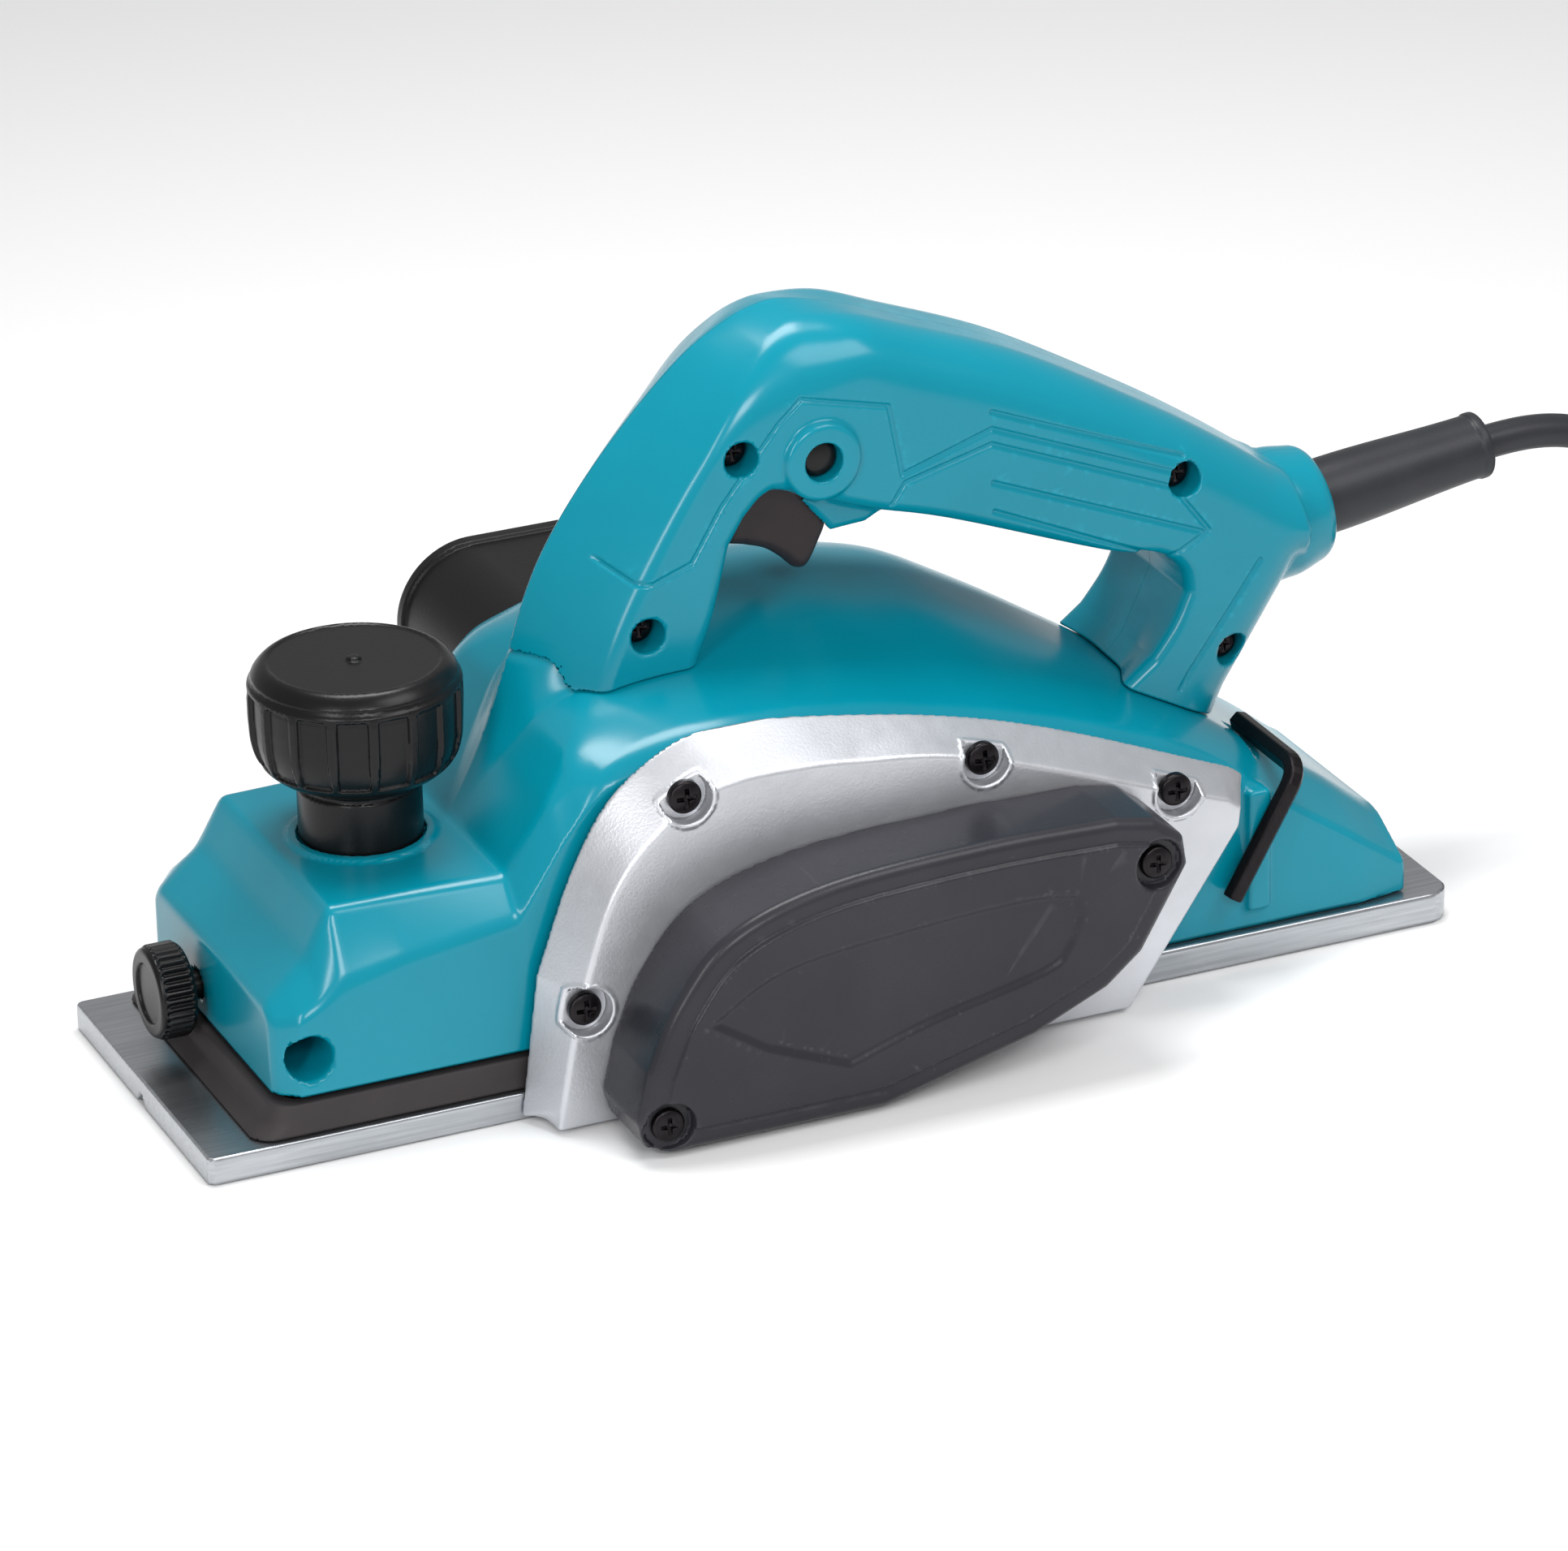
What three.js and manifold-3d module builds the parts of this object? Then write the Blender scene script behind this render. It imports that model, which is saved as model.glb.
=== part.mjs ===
// Hand-held electric planer: a cutter drum between a lifting front shoe and a fixed rear base,
// driven by a universal motor through a toothed belt, under a moulded housing with a loop handle.
// Millimetres, +Z up. -X is the front, -Y the belt side, and z = 0 is the sole's plane.
import * as THREE from 'three';
import { mergeVertices } from 'three/addons/utils/BufferGeometryUtils.js';
import { ConvexGeometry } from 'three/addons/geometries/ConvexGeometry.js';
import Module from 'manifold-3d';

const wasm = await Module();
wasm.setup();

// ---- driving dimensions ----
const GAP = 0.3;                                // clearance between touching pieces
const SOLE = { length: 286, width: 82, shoe: 6, base: 7, corner: 6 };
const ORIGIN = { x: 195, y: 41 };               // the row's origin, on the rear base's sole face
const MID = SOLE.width / 2;
const WALL = 3.2;
const DRUM = { x: 110, z: 24.8, r: 21.5, tip: 24.4, room: 26.5, y0: 0.8, y1: 81.2, shaft: 6 };
const MOTOR = { x: 172, z: 42, stator: 27, core: 13.5, shaft: 4 };
const PULLEY = { y0: -27, y1: -16, drive: 8.2, driven: 14.5, belt: 2.4 };
const FRAME = { y0: -10.4, y1: -GAP };
const COVER = { y0: -31.5, y1: FRAME.y0 - GAP, wall: 2.4 };
const KNOB = { x: 51, y: MID, r: 22.6, top: 91.3, under: 66, neck: 13, foot: 51.8 };
const DEPTH_TRAVEL = 1;
const HOUSING_FLOOR = 14.3;
const CLAMP = { y: 50, z: 20.5, r: 10, x0: 5.5, x1: 13.6 };
const ROD = { x: 23.9, z: 22.4, r: 4.9, depth: 30 };
const HANDLE = { y0: 22.3, wall: 3, bevel: 5 };
const LOCK = { x: 148.2, z: 123.6, r: 3.8, boss: 7.5 };
const TRIGGER = { y0: 31, y1: 51, play: 0.8 };
const WRENCH = { r: 2.4, bend: [246.9, -1.6, 44.2], foot: [231.3, -1.6, 17], arm: 28 };
const NOZZLE = { x0: 92.5, x1: 140, z0: 40.4, z1: 75.6, y0: 82.3, y1: 126.3, wall: 2.4 };
const PLATE = { r: 27.5, y0: 82.3, y1: 85.2, boss: 15, face: 91.5 };
const GUARD = { x0: 271.5, z0: 85.4, x1: 313, z1: 91, r0: 8.4, r1: 7.2 };
const CORD = { r: 3.75, sides: 8 };
const COIL = { x: 424, y: 62, mean: 40.5, half: 15.2, top: 15.2 };
const PLUG = { x: 418, y: 102, z: 15.5 };

// ---- colours and finishes ----
const look = (color, roughness, metalness) => new THREE.MeshStandardMaterial({ color, roughness, metalness });
const TEAL = look(0x10879b, 0.35, 0);
const SILVER = look(0xc8cbd0, 0.45, 0.7);
const MACHINED = look(0xb4b6b8, 0.35, 0.9);
const CHARCOAL = look(0x323238, 0.4, 0);
const BLACK = look(0x232325, 0.5, 0);
const RUBBER = look(0x463e3c, 0.85, 0);
const STEEL = look(0x8c8f93, 0.3, 1);
const DARK_STEEL = look(0x3a3a3e, 0.35, 0.9);
const COPPER = look(0xb87340, 0.35, 1);
const LAMINATION = look(0x6f7276, 0.5, 0.9);
const GRAPHITE = look(0x2a2a2c, 0.7, 0.2);

// ---- solid helpers ----
function solid(geometry) {
  const bare = geometry.clone();
  bare.deleteAttribute('normal');
  bare.deleteAttribute('uv');
  const merged = mergeVertices(bare, 1e-4);
  const vertProperties = new Float32Array(merged.attributes.position.array);
  const triVerts = new Uint32Array(merged.index.array);
  return new wasm.Manifold(new wasm.Mesh({ numProp: 3, vertProperties, triVerts }));
}

function geometryOf(manifold) {
  const { vertProperties, triVerts } = manifold.getMesh();
  const geometry = new THREE.BufferGeometry();
  geometry.setAttribute('position', new THREE.BufferAttribute(new Float32Array(vertProperties), 3));
  geometry.setIndex(new THREE.BufferAttribute(new Uint32Array(triVerts), 1));
  return geometry;
}

const join = (first, ...rest) => rest.reduce((sum, piece) => sum.add(piece), first);
const cut = (first, ...rest) => rest.reduce((left, piece) => left.subtract(piece), first);

function box(x0, x1, y0, y1, z0, z1) {
  const geometry = new THREE.BoxGeometry(x1 - x0, y1 - y0, z1 - z0);
  return solid(geometry.translate((x0 + x1) / 2, (y0 + y1) / 2, (z0 + z1) / 2));
}

// a prism of an (x, z) outline between two y values
function slab(outline, y0, y1, bevel = 0) {
  const shape = outline instanceof THREE.Shape ? outline : new THREE.Shape(outline.map(([x, z]) => new THREE.Vector2(x, z)));
  const geometry = new THREE.ExtrudeGeometry(shape, {
    depth: y1 - y0 - 2 * bevel, bevelEnabled: bevel > 0, bevelThickness: bevel, bevelSize: bevel,
    bevelOffset: -bevel, bevelSegments: 1, curveSegments: 6,
  });
  return solid(geometry.rotateX(Math.PI / 2).translate(0, y1 - bevel, 0));
}

// a prism of an (x, y) outline between two z values
function plate(outline, z0, z1) {
  const shape = outline instanceof THREE.Shape ? outline : new THREE.Shape(outline.map(([x, y]) => new THREE.Vector2(x, y)));
  const geometry = new THREE.ExtrudeGeometry(shape, { depth: z1 - z0, bevelEnabled: false, curveSegments: 4 });
  return solid(geometry.translate(0, 0, z0));
}

// a turned solid about the y axis through (x, z); rows are [radius, y]
function turnedY(x, z, rows, sides = 24) {
  const profile = rows.map(([radius, y]) => new THREE.Vector2(radius, y));
  return solid(new THREE.LatheGeometry(profile, sides).translate(x, 0, z));
}

function rodY(x, z, r, y0, y1, sides = 24) {
  return turnedY(x, z, [[0, y0], [r, y0], [r, y1], [0, y1]], sides);
}

function ringY(x, z, inner, outer, y0, y1, sides = 24) {
  return turnedY(x, z, [[inner, y0], [outer, y0], [outer, y1], [inner, y1], [inner, y0]], sides);
}

function turnedZ(x, y, rows, sides = 24) {
  const profile = rows.map(([radius, z]) => new THREE.Vector2(radius, z));
  return solid(new THREE.LatheGeometry(profile, sides).rotateX(Math.PI / 2).translate(x, y, 0));
}

function turnedX(y, z, rows, sides = 24) {
  const profile = rows.map(([radius, x]) => new THREE.Vector2(radius, x));
  return solid(new THREE.LatheGeometry(profile, sides).rotateZ(-Math.PI / 2).translate(0, y, z));
}

// the convex solid over a list of [x, y, z] points
function wrap(points) {
  return solid(new ConvexGeometry(points.map(([x, y, z]) => new THREE.Vector3(x, y, z))));
}

// a body made of convex stretches between neighbouring sections
function loft(sections) {
  const stretches = sections.slice(1).map((section, i) => wrap([...sections[i], ...section]));
  return join(...stretches);
}

// an outline moved inwards by a distance
function inset(outline, distance) {
  const points = outline.map(([x, z]) => new THREE.Vector2(x, z));
  const turn = THREE.ShapeUtils.area(points) > 0 ? 1 : -1;
  return points.map((point, i) => {
    const before = point.clone().sub(points.at(i - 1)).normalize();
    const after = points[(i + 1) % points.length].clone().sub(point).normalize();
    const mitre = new THREE.Vector2(-before.y - after.y, before.x + after.x);
    const scale = 2 * distance * turn / Math.max(mitre.lengthSq(), 0.8);
    return [point.x + mitre.x * scale, point.y + mitre.y * scale];
  });
}

function spline(points, steps) {
  const curve = new THREE.SplineCurve(points.map(([x, z]) => new THREE.Vector2(x, z)));
  return curve.getPoints(steps).map((point) => [point.x, point.y]);
}

// ---- outlines shared by neighbours ----
const COVER_OUTLINE = [
  [137, 1.2], [88.5, 1.2], [83.5, 3.5], [82, 9],
  ...spline([[84.5, 20], [91, 34], [103, 47], [125, 54], [160, 55.8], [190, 55.2]], 12),
  [199, 53.6], [205.5, 48.5], [206.5, 42], [196, 24], [188, 17.4], [171, 10],
];
const FRAME_INNER = [
  [206.4, 1], [67.8, 1], ...spline([[72, 32.5], [80.2, 53.7], [89.6, 69], [104.3, 78.6], [118, 79.6]], 8),
  ...spline([[132, 78.6], [162.5, 73], [190.4, 64.4], [231, 47.6]], 6), [234, 45.4], [233.2, 39],
];
const FRAME_OUTER = [
  [202.7, 1], [72.3, 1], ...spline([[77.2, 26.8], [86.5, 52.2], [101.2, 67.3], [113, 71.3], [127.5, 71.6]], 8),
  ...spline([[140, 70.6], [166.7, 66.2], [211.6, 49.8], [226, 44.6]], 6), [228.6, 42.4], [228.2, 38],
];
const FRAME_SCREWS = [[79.6, 26.7], [102.9, 69.4], [169.7, 64.6], [214.2, 48.6]];
const COVER_SCREWS = [[88.6, 7.6], [199.3, 43.6]];
const HANDLE_OUTLINE = [
  [84, 66], ...spline([[82, 77], [89.7, 99.6], [109.7, 128.9], [134.5, 149.9], [148.5, 152.9]], 12),
  ...spline([[159, 150.3], [199.3, 134.6], [229, 117.8], [260, 97.8]], 6),
  [262, 98.2], [270.4, 94.5], [275.5, 81.5], [272, 76.5], [262, 78], [245.6, 52], [239, 38], [216, 38],
  [220.5, 57], [226, 63], [232, 76], [232, 82.5], [228, 86], [213.8, 90.6], [178, 104.4], [160.4, 109.4],
  [140, 117.6],
  [133, 115.6], [127.9, 107.7], [124.1, 93.2], [120.5, 84], [117, 66],
];
const HANDLE_SCREWS = [[130.4, 126.8], [108.7, 91.7], [232.1, 103.8], [243.7, 62.4]];

// ---- main housing ----
const drumRoom = () => rodY(DRUM.x, DRUM.z, DRUM.room, -5, 90, 32);
const wrenchShelf = () => box(WRENCH.bend[0] - 3, WRENCH.bend[0] + 12, -5, WRENCH.arm, WRENCH.bend[2] - 2.8, 60);

// one cross-section, inset by t: [x, near side, near side's top, ridge y, ridge z, far ridge y, far ridge z, far top]
function housingSection([x, y0, side0, ridgeY0, ridge0, ridgeY1, ridge1, side1, y1], t, floor) {
  return [
    [x, y0 + t, floor], [x, y0 + t, side0 - t], [x, ridgeY0 + t, ridge0 - t],
    [x, ridgeY1 - t, ridge1 - t], [x, y1 - t, side1 - t], [x, y1 - t, floor],
  ];
}

function housingBody(t, floor) {
  const front = [
    [16.5 + t, 7, 30, 9, 32, 73, 32, 30, 75],
    [22 + t / 2, 2, 34, 9, 39.8, 73, 39.8, 34, 80],
    [30.3 + t / 2, 2, 38, 9.5, 51.5, 72.5, 51.5, 38, 80],
    [71, 2, 44, 9, 51.8, 73, 51.8, 44, 80],
    [79.5 + t / 2, 0.5, 56, 8, 66.5, 72, 66.5, 56, 80],
    [86 + t / 2, 0, 64, 9, 74.5, 70, 78, 66, 80],
  ];
  const rear = [
    [86 + t / 2, 0, 64, 9, 74.5, 70, 78, 66, 82],
    [93, 0, 71.5, 9, 78.5, 70, 83.5, 74, 82],
    [104.8, 0, 78, 10, 82, 68, 88, 78, 82],
    [118, 0, 79.3, 10, 82.5, 66, 91, 81, 82],
    [135, 0, 78, 10, 81.6, 66, 92.5, 83, 82],
    [155, 0, 74.6, 10, 79, 66, 92, 83, 82],
    [180, 0, 67.4, 11, 73, 67, 85.5, 75, 82],
    [201, 0, 60, 12, 66.5, 68, 73, 62, 82],
    [224, 0.5, 50, 14, 57, 68, 58, 49, 82],
    [249, 2, 32.7, 17, 40.4, 65, 40.4, 32.7, 80],
    [263.4, 2, 22.9, 17, 31, 65, 31, 22.9, 80],
    [276 - t, 4, 13.8, 17, 16.6, 65, 16.6, 13.8, 78],
  ];
  return loft([...front, ...rear.slice(1)].map((row) => housingSection(row, t, floor)));
}

const housingShell = cut(
  housingBody(0, SOLE.base + GAP), box(0, DRUM.x - 9, -5, 90, -5, HOUSING_FLOOR), wrenchShelf(),
);

function mainHousing() {
  const cavity = housingBody(WALL, -8);
  const mouth = box(DRUM.x - 19, DRUM.x + 19, -5, 90, -1, DRUM.z);
  const seat = ringY(MOTOR.x, MOTOR.z, 9.8, 13, 71.5, 80.5);
  const clampHole = turnedX(CLAMP.y, CLAMP.z, [[0, 0], [3.3, 0], [3.3, 40], [0, 40]], 12);
  const rodTube = rodY(ROD.x, ROD.z, ROD.r + 2.5, 4, ROD.depth + 6, 16);
  const shell = join(cut(housingShell, cavity), rodTube.intersect(housingShell), seat);
  const holes = [
    rodY(ROD.x, ROD.z, ROD.r, -5, ROD.depth, 16),
    rodY(MOTOR.x, MOTOR.z, 13, -5, 10),
    turnedZ(KNOB.x, KNOB.y, [[0, 30], [5, 30], [5, 60], [0, 60]], 16),
    slab(inset(nozzleOutline(), NOZZLE.wall + 0.5), 70, 90),
    ...FRAME_SCREWS.map(([x, z]) => rodY(x, z, 2.3, -2, 9, 10)),
  ];
  return cut(shell, drumRoom(), mouth, clampHole, ...holes);
}

// ---- soles ----
function roundedSole(x0, x1, r) {
  const shape = new THREE.Shape();
  shape.moveTo(x0, 0).lineTo(x1 - r, 0);
  shape.absarc(x1 - r, r, r, -Math.PI / 2, 0, false);
  shape.absarc(x1 - r, SOLE.width - r, r, 0, Math.PI / 2, false);
  shape.lineTo(x0, SOLE.width);
  return shape;
}

function rearBase() {
  return cut(plate(roundedSole(DRUM.x, SOLE.length, SOLE.corner), 0, SOLE.base), drumRoom());
}

function frontBase() {
  const edge = 1;
  const back = DRUM.x - 2;
  const width = SOLE.width;
  const outline = [[edge, 0], [back, 0], [back, width], [edge, width], [0, width - edge], [0, edge]];
  const plateOfShoe = plate(outline, 0, SOLE.shoe);
  const groove = wrap([[-1, MID - 2.6, -0.1], [-1, MID + 2.6, -0.1], [-1, MID, 2.5],
    [back + 1, MID - 2.6, -0.1], [back + 1, MID + 2.6, -0.1], [back + 1, MID, 2.5]]);
  const boss = turnedZ(KNOB.x, KNOB.y, [[0, 5], [9, 5], [9, 40], [0, 40]], 20);
  const thread = turnedZ(KNOB.x, KNOB.y, [[0, 10], [4.3, 10], [4.3, 45], [0, 45]], 16);
  return cut(join(plateOfShoe, boss), groove, thread, drumRoom());
}

function frontSkirt() {
  const top = HOUSING_FLOOR - DEPTH_TRAVEL - 0.2;
  const foot = SOLE.shoe + GAP;
  const back = DRUM.x - 21;
  const rim = (x, y, z) => [[x, y + 6, z], [x + 6, y, z], [back, y, z],
    [back, 82 - y, z], [x + 6, 82 - y, z], [x, 76 - y, z]];
  const outer = loft([rim(10.4, 1.2, foot), rim(14, 1.8, 9.2), rim(15.3, 2, top)]);
  const inner = box(20, back + 5, 5.5, 76.5, 0, 20);
  return cut(outer, inner);
}

// ---- belt side ----
function screwPocket([x, z]) {
  const bore = rodY(x, z, 5.2, -20, -7, 16);
  const mouth = box(x - 5.2, x + 5.2, -20, -7, z, z + 12);
  return join(bore, mouth);
}

function sideFrame() {
  const inner = FRAME_INNER.map(([x, z]) => [x, FRAME.y1, z]);
  const outer = FRAME_OUTER.map(([x, z]) => [x, FRAME.y0, z]);
  const body = wrap([...inner, ...outer]);
  const seats = [
    rodY(DRUM.x, DRUM.z, 13.3, -9, 2), rodY(DRUM.x, DRUM.z, 8, -12, 2),
    rodY(MOTOR.x, MOTOR.z, 11.3, -9, 2), rodY(MOTOR.x, MOTOR.z, 6, -12, 2),
  ];
  const shanks = FRAME_SCREWS.map(([x, z]) => rodY(x, z, 2.3, -12, 2, 10));
  const coverShanks = COVER_SCREWS.map(([x, z]) => rodY(x, z, 1.9, -12, -4, 10));
  return cut(body, ...FRAME_SCREWS.map(screwPocket), ...shanks, ...coverShanks, ...seats);
}

function beltCover() {
  const shell = slab(COVER_OUTLINE, COVER.y0, COVER.y1 + 4, 2.5);
  const trimmed = cut(shell, box(60, 230, COVER.y1, 0, -10, 80));
  const hollow = slab(inset(COVER_OUTLINE, COVER.wall), COVER.y0 + COVER.wall, 0);
  const bosses = COVER_SCREWS.map(([x, z]) => rodY(x, z, 5, COVER.y0 + 2.6, COVER.y1, 16));
  const ears = bosses.map((boss) => boss.intersect(trimmed));
  const shanks = COVER_SCREWS.map(([x, z]) => rodY(x, z, 1.9, -40, 0, 10));
  const heads = COVER_SCREWS.map(([x, z]) => rodY(x, z, 4.2, -40, -28, 16));
  return cut(join(cut(trimmed, hollow), ...ears), ...shanks, ...heads);
}

// a cross-recess pan screw whose axis is y, its head towards -Y
function screwY(x, z, headY, headR, headT, shankR, length) {
  const body = turnedY(x, z, [[0, headY], [headR * 0.8, headY], [headR, headY + headT * 0.4], [headR, headY + headT],
    [shankR, headY + headT], [shankR, headY + headT + length], [0, headY + headT + length]], 12);
  const slot = (w, h) => box(x - w, x + w, headY - 1, headY + headT * 0.6, z - h, z + h);
  return cut(body, slot(headR * 0.6, 0.45), slot(0.45, headR * 0.6));
}

function beltLoop(inner, y0, y1) {
  const along = new THREE.Vector2(MOTOR.x - DRUM.x, MOTOR.z - DRUM.z);
  const lean = Math.atan2(along.y, along.x);
  const wrapAngle = Math.acos((PULLEY.driven - PULLEY.drive) / along.length());
  const shape = new THREE.Shape();
  const grow = inner ? GAP : GAP + PULLEY.belt;
  shape.absarc(DRUM.x, DRUM.z, PULLEY.driven + grow, lean + wrapAngle, lean - wrapAngle + 2 * Math.PI, false);
  shape.absarc(MOTOR.x, MOTOR.z, PULLEY.drive + grow, lean - wrapAngle, lean + wrapAngle, false);
  return slab(shape, y0, y1);
}

function driveBelt() {
  return cut(beltLoop(false, PULLEY.y0 + 1, PULLEY.y1 - 1), beltLoop(true, PULLEY.y0 - 1, PULLEY.y1 + 1));
}

function pulley(x, z, r, shaft) {
  const rows = [[shaft, PULLEY.y0], [r, PULLEY.y0], [r, PULLEY.y1], [shaft, PULLEY.y1], [shaft, PULLEY.y0]];
  return turnedY(x, z, rows, 28);
}

// ---- cutter ----
function turnedAboutDrum(piece, angle) {
  const geometry = geometryOf(piece).translate(-DRUM.x, 0, -DRUM.z).rotateY(angle).translate(DRUM.x, 0, DRUM.z);
  return solid(geometry);
}

const BLADE_ANGLES = [Math.PI / 3, Math.PI / 3 + Math.PI];
const drumSlot = (a, b, r0, r1) => box(DRUM.x + a, DRUM.x + b, DRUM.y0 - 0.2, DRUM.y1 + 0.2, DRUM.z + r0, DRUM.z + r1);

function cutterDrum() {
  const { x, z, r, y0, y1, shaft } = DRUM;
  const body = turnedY(x, z, [[0, -28.5], [shaft - 1, -28.5], [shaft - 1, -12], [shaft, -12], [shaft, y0], [r, y0],
    [r, y1], [shaft, y1], [shaft, 89], [0, 89]], 32);
  return cut(body, ...BLADE_ANGLES.map((angle) => turnedAboutDrum(drumSlot(-6, 6, 10, 30), angle)));
}

function drumBlade(angle) {
  const { x, z, tip } = DRUM;
  return turnedAboutDrum(box(x - 5.7, x - 4.2, DRUM.y0, DRUM.y1, z + 10.3, z + tip - 0.8), angle);
}

function bladeClamp(angle) {
  const { x, z } = DRUM;
  return turnedAboutDrum(box(x - 3.9, x + 5.7, DRUM.y0, DRUM.y1, z + 10.3, z + 20.4), angle);
}

function endPlate() {
  const { x, z } = DRUM;
  const disc = rodY(x, z, PLATE.r, PLATE.y0, PLATE.y1, 32).intersect(box(0, 200, 0, 200, 1, NOZZLE.z0 - GAP));
  const boss = rodY(x, z, PLATE.boss, PLATE.y0 + 1, PLATE.face, 24);
  return cut(join(disc, boss), rodY(x, z, 11.3, 80, PLATE.face - 1.9, 24));
}

// ---- motor ----
function stator() {
  const { x, z, core } = MOTOR;
  return ringY(x, z, core + 0.8, MOTOR.stator, 22, 58, 28);
}

function armatureShaft() {
  const { x, z, shaft } = MOTOR;
  return rodY(x, z, shaft, -28.5, 78, 16);
}

const sleeve = (outer, y0, y1, sides = 24) => ringY(MOTOR.x, MOTOR.z, MOTOR.shaft + GAP, outer, y0, y1, sides);

function coolingFan() {
  const hub = sleeve(9, 8, 18);
  const disc = sleeve(24, 16, 18, 28);
  const blade = box(MOTOR.x + 8.5, MOTOR.x + 23, 9, 16.5, MOTOR.z - 0.8, MOTOR.z + 0.8);
  const blades = Array.from({ length: 9 }, (_, i) => {
    const turned = geometryOf(blade).translate(-MOTOR.x, 0, -MOTOR.z).rotateY(i * Math.PI * 2 / 9);
    return solid(turned.translate(MOTOR.x, 0, MOTOR.z));
  });
  return join(hub, disc, ...blades);
}

function brush(side) {
  const inner = MOTOR.x + side * 9.6;
  const outer = MOTOR.x + side * 21;
  return box(Math.min(inner, outer), Math.max(inner, outer), 61.5, 68.5, MOTOR.z - 3, MOTOR.z + 3);
}

function brushHolder(side) {
  const inner = MOTOR.x + side * 11;
  const outer = MOTOR.x + side * 23.5;
  const body = box(Math.min(inner, outer), Math.max(inner, outer), 59.8, 69.6, MOTOR.z - 5, MOTOR.z + 5);
  const far = MOTOR.x + side * 21.3;
  return cut(body, box(Math.min(inner - side * 2, far), Math.max(inner - side * 2, far), 61.2, 68.8, MOTOR.z - 3.3, MOTOR.z + 3.3));
}

// ---- handle ----
function handleHalf(near) {
  const full = slab(HANDLE_OUTLINE, HANDLE.y0, SOLE.width - HANDLE.y0, HANDLE.bevel);
  const hollow = slab(inset(HANDLE_OUTLINE, HANDLE.wall + 1), HANDLE.y0 + HANDLE.wall + 1.5, SOLE.width - HANDLE.y0 - HANDLE.wall - 1.5);
  const side = near ? box(0, 400, -10, MID - GAP / 2, 0, 200) : box(0, 400, MID + GAP / 2, 100, 0, 200);
  const seatOnHousing = solid(geometryOf(housingShell).translate(0, 0, GAP));
  const { y0, y1, play } = TRIGGER;
  const triggerSlot = box(128.6, 158, y0 - play, y1 + play, 95, 126);
  const cordHole = guardSolid(GAP, true);
  const boss = near ? rodY(LOCK.x, LOCK.z, LOCK.boss, 20.6, 30, 20) : box(0, 1, 0, 1, 190, 191);
  const shell = near ? join(cut(full, hollow), boss) : cut(full, hollow);
  const posts = HANDLE_SCREWS.map(([x, z]) => rodY(x, z, 5.4, 26, 56, 14));
  const withPosts = join(shell, ...posts.map((post) => post.intersect(full)));
  const screwHoles = HANDLE_SCREWS.map(([x, z]) => join(rodY(x, z, 3.8, 0, 30, 14), rodY(x, z, 1.9, 0, 54, 10)));
  const lockHole = rodY(LOCK.x, LOCK.z, LOCK.r + 0.4, 0, near ? 41 : 52, 14);
  return cut(withPosts, seatOnHousing, triggerSlot, cordHole, lockHole, ...screwHoles).intersect(side);
}

function trigger() {
  const outline = [[130.8, 104.4], [131.5, 116], [133, 122.5], [138, 122], [146, 117], [152.5, 114], [155.4, 110.5],
    [149.4, 97], [146.4, 96.4], [143.6, 98.8], [139.5, 102], [134.5, 103.7]];
  return slab(outline, TRIGGER.y0, TRIGGER.y1);
}

function switchModule() {
  const geometry = new THREE.BoxGeometry(32, 22, 17);
  return solid(geometry.rotateY(0.38).translate(172.5, MID, 127));
}

function lockButton() {
  return turnedY(LOCK.x, LOCK.z, [[0, 22.8], [LOCK.r, 23.4], [LOCK.r, 36], [0, 36]], 14);
}

// ---- fittings ----
function nozzleOutline() {
  const { x0, x1, z0, z1 } = NOZZLE;
  const left = (z1 - z0) / 2;
  const right = 9;
  const shape = new THREE.Shape();
  shape.moveTo(x1 - right, z0);
  shape.absarc(x1 - right, z0 + right, right, -Math.PI / 2, 0, false);
  shape.absarc(x1 - right, z1 - right, right, 0, Math.PI / 2, false);
  shape.absarc(x0 + left, z0 + left, left, Math.PI / 2, Math.PI * 1.5, false);
  return shape.getPoints(6).slice(0, -1).map((point) => [point.x, point.y]);
}

function chipNozzle() {
  const outline = nozzleOutline();
  return cut(slab(outline, NOZZLE.y0, NOZZLE.y1), slab(inset(outline, NOZZLE.wall), NOZZLE.y0 - 1, NOZZLE.y1 + 1));
}

function depthKnob() {
  const { x, y, r, top, under, neck, foot } = KNOB;
  const rows = [[4.3, foot], [neck, foot], [neck, under - 1], [r - 5, under], [r, under + 6], [r, top - 5],
    [r - 4.5, top], [0, top], [0, top - 6], [4.3, top - 6], [4.3, foot]];
  return turnedZ(x, y, rows, 24);
}

function depthScrew() {
  return turnedZ(KNOB.x, KNOB.y, [[0, 14], [4, 14], [4, KNOB.top - 6 - GAP], [0, KNOB.top - 6 - GAP]], 16);
}

function depthSpring() {
  const turns = 5;
  const [low, high, radius, wire] = [8, 46.5, 11.5, 0.9];
  const points = Array.from({ length: turns * 8 + 1 }, (_, i) => {
    const angle = i * Math.PI / 4;
    const z = low + (high - low) * i / (turns * 8);
    return new THREE.Vector3(KNOB.x + radius * Math.cos(angle), KNOB.y + radius * Math.sin(angle), z);
  });
  const section = new THREE.Shape(Array.from({ length: 5 }, (_, i) => {
    return new THREE.Vector2(wire * Math.cos(i * Math.PI * 0.4), wire * Math.sin(i * Math.PI * 0.4));
  }));
  const path = new THREE.CatmullRomCurve3(points);
  return solid(new THREE.ExtrudeGeometry(section, { steps: turns * 8, extrudePath: path, bevelEnabled: false }));
}

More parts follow.
